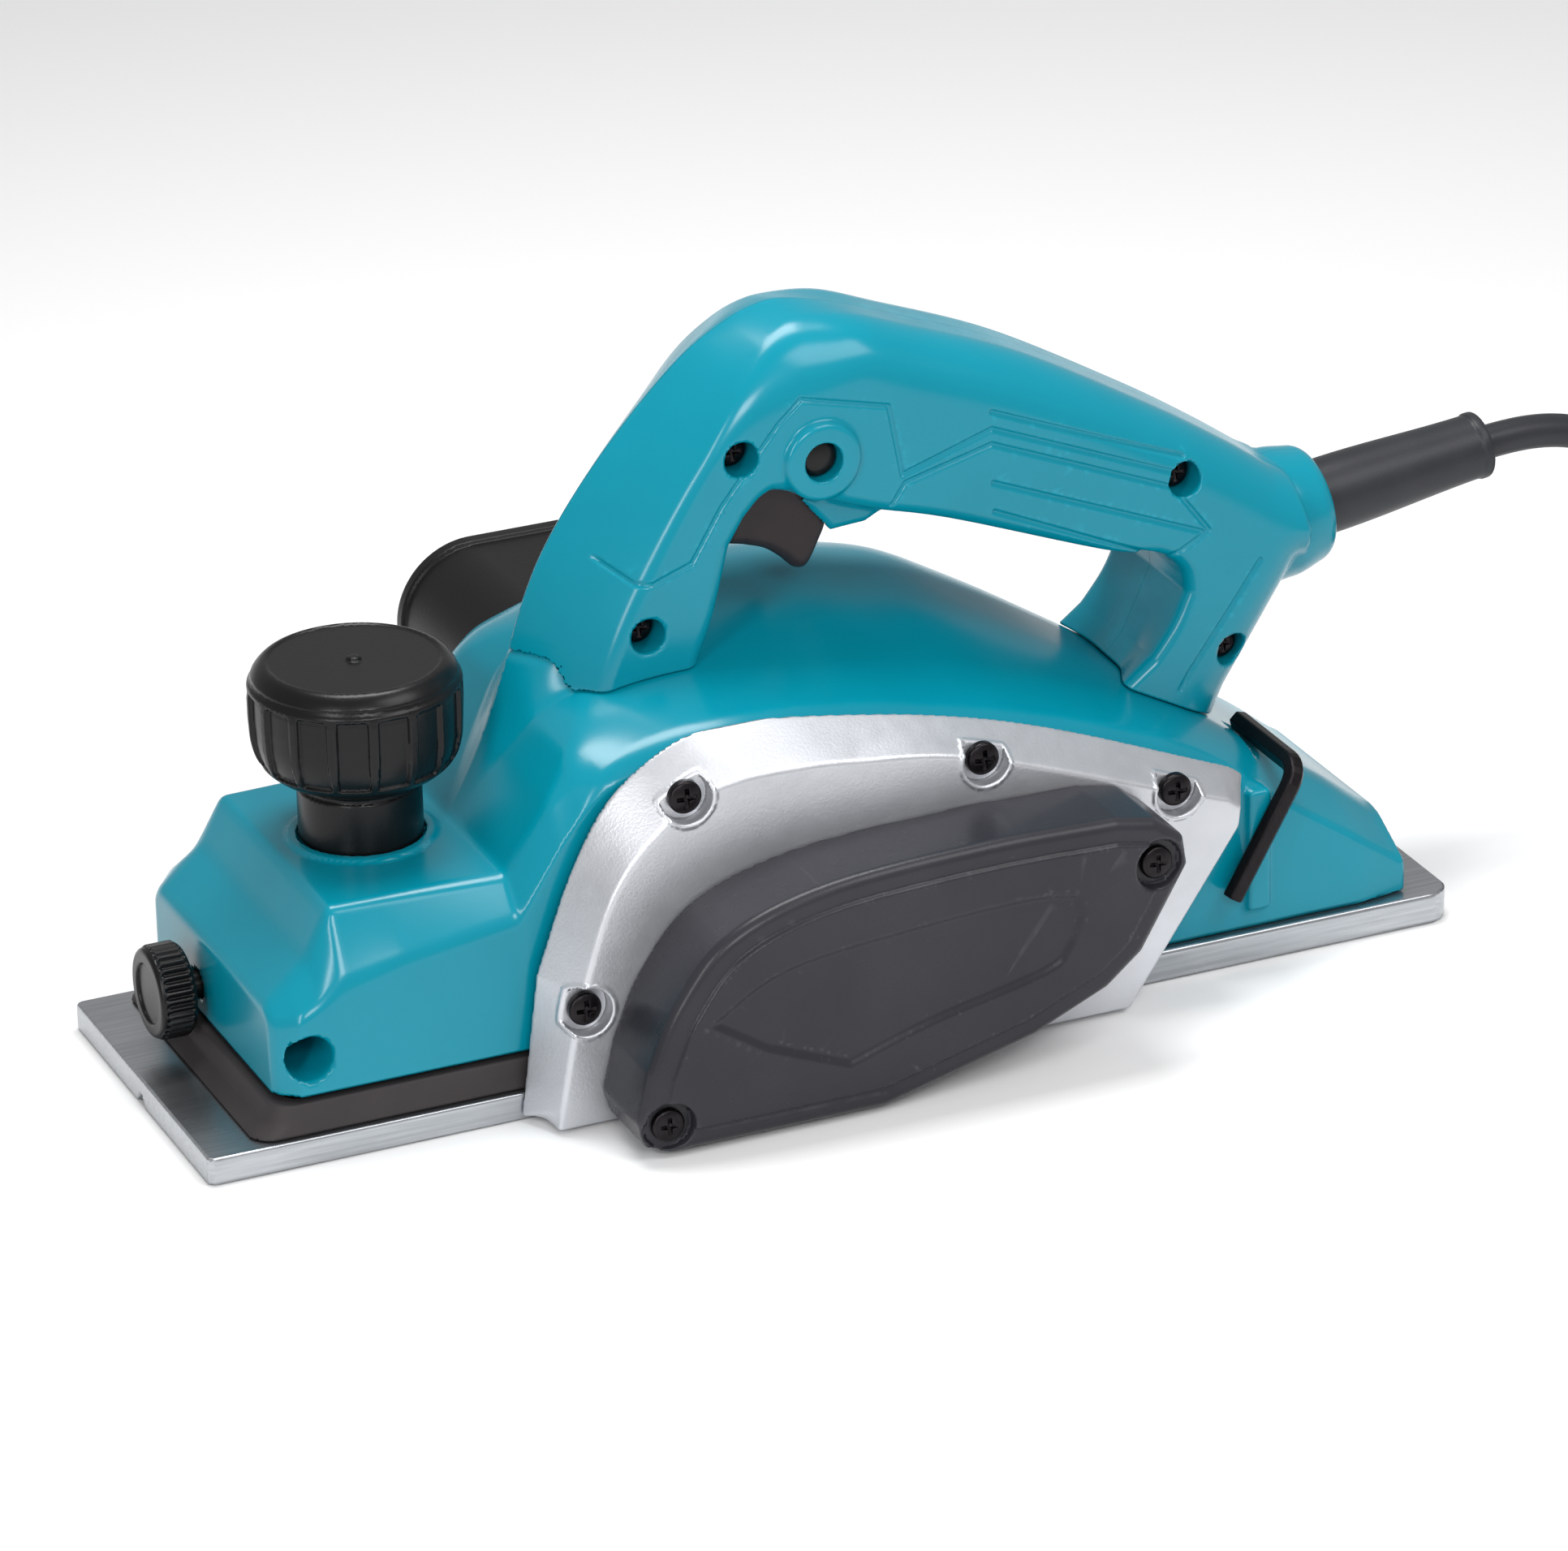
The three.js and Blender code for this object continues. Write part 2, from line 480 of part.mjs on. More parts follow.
function clampKnob() {
  const { y, z, r, x0, x1 } = CLAMP;
  return turnedX(y, z, [[0, x0], [r - 1.5, x0], [r, x0 + 1.5], [r, x1 - 1], [r - 2, x1], [3, x1], [3, x1 + 14], [0, x1 + 14]], 24);
}

function hexWrench() {
  const bend = new THREE.Vector3(...WRENCH.bend);
  const foot = new THREE.Vector3(...WRENCH.foot);
  const arm = bend.clone().add(new THREE.Vector3(0, WRENCH.arm, 0));
  const corner = (end, share) => bend.clone().lerp(end, share);
  const path = new THREE.CurvePath();
  path.add(new THREE.LineCurve3(arm, corner(arm, 0.16)));
  path.add(new THREE.QuadraticBezierCurve3(corner(arm, 0.16), bend, corner(foot, 0.14)));
  path.add(new THREE.LineCurve3(corner(foot, 0.14), foot));
  const section = new THREE.Shape(Array.from({ length: 6 }, (_, i) => {
    return new THREE.Vector2(WRENCH.r * Math.cos(i * Math.PI / 3), WRENCH.r * Math.sin(i * Math.PI / 3));
  }));
  return solid(new THREE.ExtrudeGeometry(section, { steps: 16, extrudePath: path, bevelEnabled: false }));
}

// a turned solid along the guard's leaning axis; rows are [radius, distance from the guard's root]
function alongGuard(rows, sides = 20) {
  const lean = Math.atan2(GUARD.z1 - GUARD.z0, GUARD.x1 - GUARD.x0);
  const profile = rows.map(([radius, distance]) => new THREE.Vector2(radius, distance));
  const turned = new THREE.LatheGeometry(profile, sides).rotateZ(-Math.PI / 2).rotateY(-lean);
  return solid(turned.translate(GUARD.x0, MID, GUARD.z0));
}

function guardSolid(grow, plain) {
  const length = Math.hypot(GUARD.x1 - GUARD.x0, GUARD.z1 - GUARD.z0);
  const root = -10;
  const bore = CORD.r + GAP;
  if (plain) {
    return alongGuard([[0, root - grow], [GUARD.r0 + grow, root - grow], [GUARD.r0 + grow, 12], [0, 12]], 16);
  }
  const rows = [[bore, root], [GUARD.r0, root], [GUARD.r0, 6], [GUARD.r1, length], [bore, length]];
  return alongGuard([...rows, [bore, root]], 16);
}

// ---- mains cord ----
const CORD_ROUTE = [
  [266, 41, 84.7], [290, 41, 87.9], [313, 41, 91], [327, 41, 91.6], [339, 40.4, 89], [349, 38.8, 82.5],
  [356.5, 36, 73], [361.5, 32.2, 62], [364.5, 28, 50.5], [367, 23.5, 39.5], [370, 19, 29], [374, 15.2, 19.5],
  [379.5, 12.4, 11.3], [386.3, 10.8, 5.9], [394, 10.25, 3.8],
];

function cordTube() {
  const path = new THREE.CatmullRomCurve3(CORD_ROUTE.map(([x, y, z]) => new THREE.Vector3(x, y, z)));
  const section = new THREE.Shape(Array.from({ length: CORD.sides }, (_, i) => {
    const angle = (i + 0.5) * Math.PI * 2 / CORD.sides;
    return new THREE.Vector2(CORD.r * Math.cos(angle), CORD.r * Math.sin(angle));
  }));
  return solid(new THREE.ExtrudeGeometry(section, { steps: 30, extrudePath: path, bevelEnabled: false }));
}

// the closed outer shape of the stored coil
function cordCoil() {
  const [inner, outer, top] = [COIL.mean - COIL.half, COIL.mean + COIL.half, COIL.top];
  const rows = [[inner, 1.5], [inner + 1.5, 0], [outer - 1.5, 0], [outer, 1.5], [outer, top - 1.5],
    [outer - 1.5, top], [inner + 1.5, top], [inner, top - 1.5], [inner, 1.5]];
  return turnedZ(COIL.x, COIL.y, rows, 28);
}

function mainsPlug() {
  const { x, y, z } = PLUG;
  const body = wrap([[x - 12, y - 14, z], [x + 12, y - 14, z], [x - 12, y + 14, z], [x + 12, y + 14, z],
    [x - 9, y - 12, z + 15], [x + 9, y - 12, z + 15], [x - 9, y + 12, z + 15], [x + 9, y + 12, z + 15],
    [x + 24, y - 5, z], [x + 24, y + 5, z], [x + 24, y - 4, z + 10], [x + 24, y + 4, z + 10]]);
  const pin = (offset) => turnedX(y + offset, z + 7.5, [[0, x - 30], [2.4, x - 30], [2.4, x - 8], [0, x - 8]], 10);
  const pins = [-9.5, 9.5].map(pin);
  return join(body, ...pins);
}

// ---- assembly ----
const planer = new THREE.Group();
planer.position.set(-ORIGIN.x, -ORIGIN.y, 0);

function add(name, manifold, material) {
  const mesh = new THREE.Mesh(geometryOf(manifold), material);
  mesh.name = name;
  planer.add(mesh);
}

add('main_housing', mainHousing(), TEAL);
add('handle_left', handleHalf(true), TEAL);
add('handle_right', handleHalf(false), TEAL);
add('front_base', frontBase(), MACHINED);
add('front_skirt', frontSkirt(), RUBBER);
add('rear_base', rearBase(), SILVER);
add('side_frame', sideFrame(), SILVER);
add('belt_cover', beltCover(), CHARCOAL);
add('drum_end_plate', endPlate(), SILVER);
FRAME_SCREWS.forEach(([x, z], i) => add(`frame_screw_${i + 1}`, screwY(x, z, -9.8, 3.6, 2.6, 2, 11), DARK_STEEL));
COVER_SCREWS.forEach(([x, z], i) => add(`cover_screw_${i + 1}`, screwY(x, z, -30.4, 3.6, 2.2, 1.6, 20), DARK_STEEL));
HANDLE_SCREWS.forEach(([x, z], i) => add(`handle_screw_${i + 1}`, screwY(x, z, 27.2, 3.3, 2.4, 1.6, 22), DARK_STEEL));
add('driven_pulley', pulley(DRUM.x, DRUM.z, PULLEY.driven, DRUM.shaft - 1 + GAP), STEEL);
add('drive_pulley', pulley(MOTOR.x, MOTOR.z, PULLEY.drive, MOTOR.shaft + GAP), STEEL);
add('drive_belt', driveBelt(), BLACK);
add('cutter_drum', cutterDrum(), STEEL);
BLADE_ANGLES.forEach((angle, i) => add(`planer_blade_${i + 1}`, drumBlade(angle), STEEL));
BLADE_ANGLES.forEach((angle, i) => add(`blade_clamp_${i + 1}`, bladeClamp(angle), DARK_STEEL));
add('drum_bearing_left', ringY(DRUM.x, DRUM.z, DRUM.shaft + GAP, 13, -8.7, -1.5), STEEL);
add('drum_bearing_right', ringY(DRUM.x, DRUM.z, DRUM.shaft + GAP, 11, 82.2, 89.2), STEEL);
add('armature_shaft', armatureShaft(), STEEL);
add('armature_core', sleeve(MOTOR.core, 23, 57, 24), LAMINATION);
add('commutator', sleeve(9.2, 60, 70, 24), COPPER);
add('cooling_fan', coolingFan(), BLACK);
add('motor_bearing_left', sleeve(11, -8.7, -1.5), STEEL);
add('motor_bearing_right', sleeve(9.5, 71.6, 78.4), STEEL);
add('stator', stator(), LAMINATION);
add('brush_left', brush(-1), GRAPHITE);
add('brush_right', brush(1), GRAPHITE);
add('brush_holder_left', brushHolder(-1), COPPER);
add('brush_holder_right', brushHolder(1), COPPER);
add('trigger', trigger(), RUBBER);
add('switch_module', switchModule(), BLACK);
add('lock_button', lockButton(), BLACK);
add('depth_knob', depthKnob(), BLACK);
add('depth_screw', depthScrew(), STEEL);
add('depth_spring', depthSpring(), STEEL);
add('fence_clamp_knob', clampKnob(), BLACK);
add('hex_wrench', hexWrench(), DARK_STEEL);
add('chip_nozzle', chipNozzle(), BLACK);
add('cord_guard', guardSolid(0, false), BLACK);
add('mains_cord', cordTube(), BLACK);
add('cord_coil', cordCoil(), BLACK);
add('mains_plug', mainsPlug(), BLACK);

export default planer;
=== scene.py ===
"""Looks of the electric hand planer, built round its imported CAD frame.

Sizes below are millimetres in the planer's own frame: x from the front edge of the shoe, y from
the belt side of the soles, z from the soles' plane. place() turns them into metres in the row.
"""
import math
from collections import Counter

import bmesh
import bpy
import numpy as np
from mathutils import Matrix, Vector


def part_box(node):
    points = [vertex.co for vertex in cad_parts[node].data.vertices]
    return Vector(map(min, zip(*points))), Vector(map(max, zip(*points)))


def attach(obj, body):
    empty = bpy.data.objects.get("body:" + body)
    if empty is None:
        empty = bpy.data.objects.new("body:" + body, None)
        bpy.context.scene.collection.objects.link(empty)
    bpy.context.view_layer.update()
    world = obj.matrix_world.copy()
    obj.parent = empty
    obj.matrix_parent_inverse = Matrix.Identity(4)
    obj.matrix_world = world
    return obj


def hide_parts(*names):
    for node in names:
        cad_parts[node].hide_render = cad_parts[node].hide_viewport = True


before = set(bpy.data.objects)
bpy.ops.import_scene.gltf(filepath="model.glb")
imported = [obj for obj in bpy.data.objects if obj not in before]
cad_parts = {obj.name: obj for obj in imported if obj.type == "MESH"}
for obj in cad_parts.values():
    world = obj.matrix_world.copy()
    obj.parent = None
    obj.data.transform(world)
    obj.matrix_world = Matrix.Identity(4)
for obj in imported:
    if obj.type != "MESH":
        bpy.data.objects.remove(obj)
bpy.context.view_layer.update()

MM = 0.001
SHOE_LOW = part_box("front_base")[0]
ORIGIN = np.array([SHOE_LOW.x, SHOE_LOW.y, 0]) / MM
MID = 41
WALL = 3.2
GAP = 0.3


def place(points):
    """Millimetres in the planer's frame, as metres in the row frame."""
    return (np.asarray(points, float) + ORIGIN) * MM


def linked(name, data):
    """A new object in the scene."""
    made = bpy.data.objects.new(name, data)
    bpy.context.scene.collection.objects.link(made)
    return made


# ---- scene and camera
VIEW = {"azimuth": -23.67, "elevation": 24.29, "roll": -1.13, "distance": 1604.25}
LENS, SENSOR = 174.16, 36
TARGET = (146.54, MID, 45.42)


def make_camera():
    a, e, roll = (math.radians(VIEW[k]) for k in ("azimuth", "elevation", "roll"))
    back = Vector((math.sin(a) * math.cos(e), -math.cos(a) * math.cos(e), math.sin(e)))
    level = Vector((math.cos(a), math.sin(a), 0))
    rise = back.cross(level)
    right = math.cos(roll) * level + math.sin(roll) * rise
    up = math.cos(roll) * rise - math.sin(roll) * level
    data = bpy.data.cameras.new("camera")
    data.lens = LENS
    data.sensor_width = SENSOR
    data.clip_end = 20
    camera = linked("camera", data)
    eye = Vector(place(TARGET)) + back * VIEW["distance"] * MM
    camera.matrix_world = Matrix.Translation(eye) @ Matrix((right, up, back)).transposed().to_4x4()
    bpy.context.scene.camera = camera


# ---- node materials
class Look:
    """A material made of a few linked nodes round one Principled shader."""

    def __init__(self, name, roughness=0.5, metallic=0):
        self.material = bpy.data.materials.new(name)
        self.material.use_nodes = True
        self.tree = self.material.node_tree
        self.shader = self.tree.nodes["Principled BSDF"]
        self.shader.inputs["Roughness"].default_value = roughness
        self.shader.inputs["Metallic"].default_value = metallic
        self.coordinates = self.tree.nodes.new("ShaderNodeTexCoord").outputs["Object"]

    def node(self, kind, inputs=None, **settings):
        made = self.tree.nodes.new(kind)
        for key, value in settings.items():
            setattr(made, key, value)
        for key, value in (inputs or {}).items():
            if isinstance(value, bpy.types.NodeSocket):
                self.tree.links.new(value, made.inputs[key])
            else:
                made.inputs[key].default_value = value
        return made

    def noise(self, scale, detail=4, stretch=(1, 1, 1), roughness=0.5):
        mapping = self.node("ShaderNodeMapping", {"Vector": self.coordinates, "Scale": stretch})
        inputs = {"Vector": mapping.outputs[0], "Scale": scale, "Detail": detail, "Roughness": roughness}
        return self.node("ShaderNodeTexNoise", inputs).outputs["Fac"]

    def ramp(self, factor, stops):
        made = self.node("ShaderNodeValToRGB", {"Fac": factor})
        elements = made.color_ramp.elements
        for element, (position, colour) in zip(elements, stops[:2]):
            element.position = position
            element.color = (*colour, 1)
        for position, colour in stops[2:]:
            elements.new(position).color = (*colour, 1)
        return made.outputs["Color"]

    def span(self, factor, low, high):
        made = self.node("ShaderNodeMapRange", {"Value": factor, "To Min": low, "To Max": high})
        return made.outputs["Result"]

    def mix(self, factor, first, second):
        ends = [c if isinstance(c, bpy.types.NodeSocket) else (*c, 1) for c in (first, second)]
        return self.node("ShaderNodeMix", {0: factor, 6: ends[0], 7: ends[1]}, data_type="RGBA").outputs[2]

    def worn_edges(self, low=0.52, high=0.6):
        """1 on convex edges, broken up by noise, and 0 elsewhere."""
        sharp = self.node("ShaderNodeNewGeometry").outputs["Pointiness"]
        edge = self.node("ShaderNodeMapRange", {"Value": sharp, "From Min": low, "From Max": high})
        patches = self.node("ShaderNodeMapRange", {
            "Value": self.noise(180, 6), "From Min": 0.35, "From Max": 0.65})
        made = self.node("ShaderNodeMath", {0: edge.outputs[0], 1: patches.outputs[0]}, operation="MULTIPLY")
        return made.outputs[0]

    def bump(self, height, strength, distance):
        made = self.node("ShaderNodeBump", {"Height": height, "Strength": strength, "Distance": distance})
        self.link(made.outputs[0], "Normal")

    def surface(self, colour, smears, rough, spread, relief, strength, distance=0.0003):
        """Links the colour, a roughness that varies with the smears and a fine relief."""
        self.link(colour, "Base Color")
        self.link(self.span(smears, rough * spread[0], rough * spread[1]), "Roughness")
        self.bump(relief, strength, distance)

    def link(self, output, socket):
        self.tree.links.new(output, self.shader.inputs[socket])

    def set(self, **values):
        for key, value in values.items():
            self.shader.inputs[key.replace("_", " ")].default_value = value
        return self


def linear(red, green, blue):
    """A display colour of 0 to 255 as scene-linear numbers."""
    shares = [c / 255 for c in (red, green, blue)]
    return tuple(s / 12.92 if s <= 0.04045 else ((s + 0.055) / 1.055) ** 2.4 for s in shares)


def moulded_plastic(name, colour, rough=0.3, grain=900, depth=0.02, shine=0.3, light=1.25, dark=0.8):
    """Injection-moulded plastic: slight mottling, a fine skin texture and rubbed edges."""
    look = Look(name, rough)
    base = linear(*colour)
    shaded = look.ramp(look.noise(28, 5), [
        (0.3, tuple(c * dark for c in base)), (0.7, tuple(c * (2 - dark) ** 0.5 for c in base))])
    rubbed = look.mix(look.worn_edges(), shaded, tuple(min(c * light + 0.004, 1) for c in base))
    look.surface(rubbed, look.noise(60, 6), rough, (0.82, 1.2), look.noise(grain, 3), depth, 0.0004)
    look.set(Specular_IOR_Level=shine)
    return look.material


def cast_metal(name, colour, rough=0.38):
    """Die-cast aluminium with a blasted skin and faint flow marks."""
    look = Look(name, rough, 0.75)
    base = linear(*colour)
    flow = look.ramp(look.noise(14, 7, (1, 1, 2.2)), [
        (0.35, tuple(c * 0.82 for c in base)), (0.65, base)])
    bright = look.mix(look.worn_edges(0.53, 0.62), flow, tuple(min(c * 1.2, 1) for c in base))
    look.surface(bright, look.noise(240, 5), rough, (0.8, 1.25), look.noise(1700, 4), 0.16)
    return look.material


def machined_metal(name, colour, rough=0.26, stretch=(0.04, 1, 1)):
    """Milled or ground metal with fine lines along one direction."""
    look = Look(name, rough, 0.95)
    base = linear(*colour)
    lines = look.noise(1500, 3, stretch)
    streaked = look.ramp(lines, [(0.3, tuple(c * 0.78 for c in base)), (0.7, base)])
    look.surface(streaked, look.noise(30, 5), rough, (0.75, 1.35), lines, 0.1, 0.0002)
    return look.material


def soft_rubber(name, colour, rough=0.7, grain=1300):
    look = Look(name, rough)
    base = linear(*colour)
    dusty = look.ramp(look.noise(45, 7), [(0.35, base), (0.75, tuple(c * 1.35 + 0.004 for c in base))])
    look.surface(dusty, look.noise(90, 4), rough, (0.85, 1.1), look.noise(grain, 4), 0.12)
    look.set(Specular_IOR_Level=0.3)
    return look.material


def laminations(name):
    """Stacked steel sheets: thin rings across the motor's axis."""
    look = Look(name, 0.45, 0.85)
    wave = look.node("ShaderNodeTexWave", {
        "Vector": look.coordinates, "Scale": 520, "Distortion": 0.4}, bands_direction="Y")
    base = linear(120, 122, 126)
    stripes = look.ramp(wave.outputs["Fac"], [(0.2, tuple(c * 0.5 for c in base)), (0.6, base)])
    look.link(stripes, "Base Color")
    look.bump(wave.outputs["Fac"], 0.35, 0.0003)
    return look.material


TEAL = moulded_plastic("teal_plastic", (1, 128, 148), 0.2, 1100, 0.012, 0.34, 1.15, 0.94)
CHARCOAL = moulded_plastic("charcoal_plastic", (46, 46, 51), 0.28, 1300, 0.06, 0.22, 1.5)
KNOB_BLACK = moulded_plastic("knob_plastic", (13, 13, 14), 0.3, 1300, 0.06, 0.26, 1.9)
NOZZLE_BLACK = moulded_plastic("nozzle_plastic", (17, 15, 17), 0.36, 1000, 0.07, 0.2, 1.5)
TRIGGER_DARK = moulded_plastic("trigger_plastic", (44, 37, 39), 0.4, 1500, 0.09, 0.25, 1.4)
SILVER = cast_metal("cast_aluminium", (205, 207, 212))
SOLE = machined_metal("machined_sole", (186, 189, 193))
STEEL = machined_metal("bright_steel", (190, 192, 196), 0.22, (1, 0.05, 1))
BLADE = machined_metal("ground_blade", (205, 208, 214), 0.16, (1, 0.04, 1))
BLACK_STEEL = machined_metal("blackened_steel", (44, 41, 43), 0.34, (1, 1, 0.2))
RUBBER = soft_rubber("dust_skirt_rubber", (46, 42, 43), 0.62)
CORD_RUBBER = soft_rubber("cord_rubber", (37, 38, 42), 0.42, 1600)
BELT_RUBBER = soft_rubber("belt_rubber", (28, 28, 29), 0.75)
LAMINATION = laminations("lamination_stack")
COPPER = machined_metal("copper", (184, 115, 64), 0.3, (1, 0.06, 1))
BRASS = machined_metal("brass", (190, 160, 90), 0.3)
CARBON = soft_rubber("carbon", (38, 38, 40), 0.8, 2200)


# ---- shapes as distance fields
def both(a, b, radius=0):
    """The part inside both shapes, its edge rounded to the radius."""
    if np.ndim(radius) == 0 and radius <= 0:
        return np.maximum(a, b)
    corner = np.hypot(np.maximum(a + radius, 0), np.maximum(b + radius, 0))
    return np.minimum(np.maximum(a, b), -radius) + corner


def merged(a, b, radius=0):
    """Both shapes joined, with a fillet of the radius between them."""
    return -both(-a, -b, radius)


def carved(a, b, radius=0):
    """The first shape with the second taken away."""
    return both(a, -b, radius)


def ease(value, low, high):
    """0 below low, 1 above high, smooth between."""
    share = np.clip((value - low) / (high - low), 0, 1)
    return share * share * (3 - 2 * share)


def disc(u, v, centre, radius):
    return np.hypot(u - centre[0], v - centre[1]) - radius


def pin_y(p, centre, radius, y0, y1, rounding=0):
    """A round bar along y about the (x, z) centre."""
    return both(disc(p[0], p[2], centre, radius), slab(p[1], y0, y1), rounding)


def discs(p, centres, radius):
    """Distance to the nearest of several round bars along y."""
    return np.minimum.reduce([disc(p[0], p[2], centre, radius) for centre in centres])


def slab(value, low, high):
    return np.maximum(low - value, value - high)


def block(p, low, high, rounding=0):
    made = both(slab(p[0], low[0], high[0]), slab(p[1], low[1], high[1]), rounding)
    return both(made, slab(p[2], low[2], high[2]), rounding)


def smooth_curve(points, steps=8):
    """Points along a Catmull-Rom curve through the given ones."""
    p = np.asarray(points, float)
    p = np.vstack([2 * p[0] - p[1], p, 2 * p[-1] - p[-2]])
    t = np.linspace(0, 1, steps, endpoint=False)[:, None]
    spans = []
    for a, b, c, d in zip(p, p[1:], p[2:], p[3:]):
        spans.append(0.5 * (2 * b + (c - a) * t + (2 * a - 5 * b + 4 * c - d) * t**2
                            + (3 * b - a - 3 * c + d) * t**3))
    return np.vstack([*spans, p[-2:-1]])


def line_distance(u, v, points, closed=False):
    """Distance to a chain of straight lines, and whether a point is inside it if it is closed."""
    ends = np.asarray(points, float)
    starts = np.roll(ends, 1, axis=0) if closed else ends[:-1]
    ends = ends if closed else ends[1:]
    nearest = np.full(np.broadcast(u, v).shape, 1e9)
    inside = np.zeros(nearest.shape, bool)
    for (u0, v0), (u1, v1) in zip(starts, ends):
        du, dv = u1 - u0, v1 - v0
        along = np.clip(((u - u0) * du + (v - v0) * dv) / max(du * du + dv * dv, 1e-12), 0, 1)
        nearest = np.minimum(nearest, np.hypot(u - u0 - along * du, v - v0 - along * dv))
        if dv:
            inside ^= ((v0 > v) != (v1 > v)) & (u < du * (v - v0) / dv + u0)
    return nearest, inside


class Table:
    """A flat function kept on a fine grid, so that it is cheap to read anywhere."""

    def __init__(self, function, low, high, step=0.25, blur=0):
        self.low, self.step = np.asarray(low, float), step
        u = np.arange(low[0], high[0] + step, step)[:, None]
        v = np.arange(low[1], high[1] + step, step)[None, :]
        values = function(u, v)
        for _ in range(blur):
            edged = np.pad(values, 1, mode="edge")
            values = (4 * values + edged[2:, 1:-1] + edged[:-2, 1:-1]
                      + edged[1:-1, 2:] + edged[1:-1, :-2]) / 8
        self.values = values

    def __call__(self, u, v):
        rows, columns = self.values.shape
        a = np.clip((u - self.low[0]) / self.step, 0, rows - 1.001)
        b = np.clip((v - self.low[1]) / self.step, 0, columns - 1.001)
        a, b = np.broadcast_arrays(a, b)
        i, j = a.astype(int), b.astype(int)
        s, t = a - i, b - j
        f = self.values
        return ((f[i, j] * (1 - s) + f[i + 1, j] * s) * (1 - t)
                + (f[i, j + 1] * (1 - s) + f[i + 1, j + 1] * s) * t)


def outline(points, margin=16, step=0.25, blur=0):
    """Signed distance to a closed flat outline, negative inside."""
    points = np.asarray(points, float)

    def signed(u, v):
        nearest, inside = line_distance(u, v, points, closed=True)
        return np.where(inside, -nearest, nearest)

    return Table(signed, points.min(0) - margin, points.max(0) + margin, step, blur)


def strokes(chains, margin=4, step=0.2):
    """Distance to several open chains of lines."""
    every = np.vstack(chains)

    def nearest(u, v):
        return np.minimum.reduce([line_distance(u, v, chain)[0] for chain in chains])

    return Table(nearest, every.min(0) - margin, every.max(0) + margin, step)


# ---- from field to mesh
def skin(values, axes, step):
    """Surface net of a sampled field: one point per crossed cell, one quad per crossed edge."""
    inside = values < 0
    cells = tuple(n - 1 for n in values.shape)
    count = np.zeros(cells, np.int8)
    corners = [(a, b, c) for a in (0, 1) for b in (0, 1) for c in (0, 1)]
    for a, b, c in corners:
        count += inside[a:a + cells[0], b:b + cells[1], c:c + cells[2]]
    crossed = (count > 0) & (count < 8)
    cell = np.argwhere(crossed)
    index = np.full(cells, -1, np.int64)
    index[crossed] = np.arange(len(cell))
    total = np.zeros((len(cell), 3))
    hits = np.zeros(len(cell))
    quads = []
    unit = np.eye(3, dtype=int)
    for axis in range(3):
        a, b = (axis + 1) % 3, (axis + 2) % 3
        for corner in ((0, 0), (1, 0), (0, 1), (1, 1)):
            start = cell + corner[0] * unit[a] + corner[1] * unit[b]
            end = start + unit[axis]
            f0, f1 = values[tuple(start.T)], values[tuple(end.T)]
            hit = (f0 < 0) != (f1 < 0)
            share = f0[hit] / (f0[hit] - f1[hit])
            total[hit] += start[hit] + share[:, None] * unit[axis]
            hits[hit] += 1
        low = np.take(inside, range(cells[axis]), axis)
        high = np.take(inside, range(1, cells[axis] + 1), axis)
        edge = np.argwhere(low != high)
        edge = edge[(edge[:, a] > 0) & (edge[:, b] > 0) & (edge[:, a] < cells[a]) & (edge[:, b] < cells[b])]
        round_edge = np.stack([index[tuple((edge - shift).T)] for shift in (
            unit[a] + unit[b], unit[b], 0 * unit[a], unit[a])], 1)
        outward = inside[tuple(edge.T)]
        round_edge[~outward] = round_edge[~outward][:, ::-1]
        quads.append(round_edge)
    lowest = np.array([axis.ravel()[0] for axis in axes])
    return lowest + total / hits[:, None] * step, np.vstack(quads)


def slope(field, points, reach):
    """The field's gradient at the points, by central differences."""
    parts = []
    for axis in np.eye(3) * reach:
        ahead, behind = points + axis, points - axis
        parts.append((field(ahead.T) - field(behind.T)) / (2 * reach))
    return np.stack(parts, 1)


def settle(field, points, step, rounds=2):
    """Moves points onto the field's zero surface."""
    for _ in range(rounds):
        grade = slope(field, points, 0.05)
        size = np.maximum((grade * grade).sum(1), 0.2)
        move = grade * (field(points.T) / size)[:, None]
        length = np.linalg.norm(move, axis=1)
        points = points - move * np.minimum(1, 0.6 * step / np.maximum(length, 1e-9))[:, None]
    return points


def mesh_object(name, points, faces, material, normals=None):
    """A mesh object with a normal for each corner of each face, in the faces' order."""
    mesh = bpy.data.meshes.new(name)
    mesh.from_pydata(place(points).tolist(), [], [list(map(int, f)) for f in faces])
    mesh.shade_smooth()
    if normals is not None:
        mesh.normals_split_custom_set(normals.tolist())
    mesh.materials.append(material)
    return linked(name, mesh)


def thinned(points, faces, keep):
    """The same surface with fewer faces where it is flat."""
    mesh = bpy.data.meshes.new("thinning")
    mesh.from_pydata(points.tolist(), [], faces.tolist())
    holder = linked("thinning", mesh)
    modifier = holder.modifiers.new("thin", "DECIMATE")
    modifier.ratio = keep
    result = holder.evaluated_get(bpy.context.evaluated_depsgraph_get()).to_mesh()
    points = np.array([v.co for v in result.vertices], float)
    faces = without_folds([list(f.vertices) for f in result.polygons])
    bpy.data.objects.remove(holder)
    bpy.data.meshes.remove(mesh)
    return points, faces


def without_folds(faces):
    """The faces without the pairs that lie on each other."""
    keys = [frozenset(f) for f in faces]
    count = Counter(keys)
    return [f for f, key in zip(faces, keys) if count[key] == 1 and len(key) == len(f)]


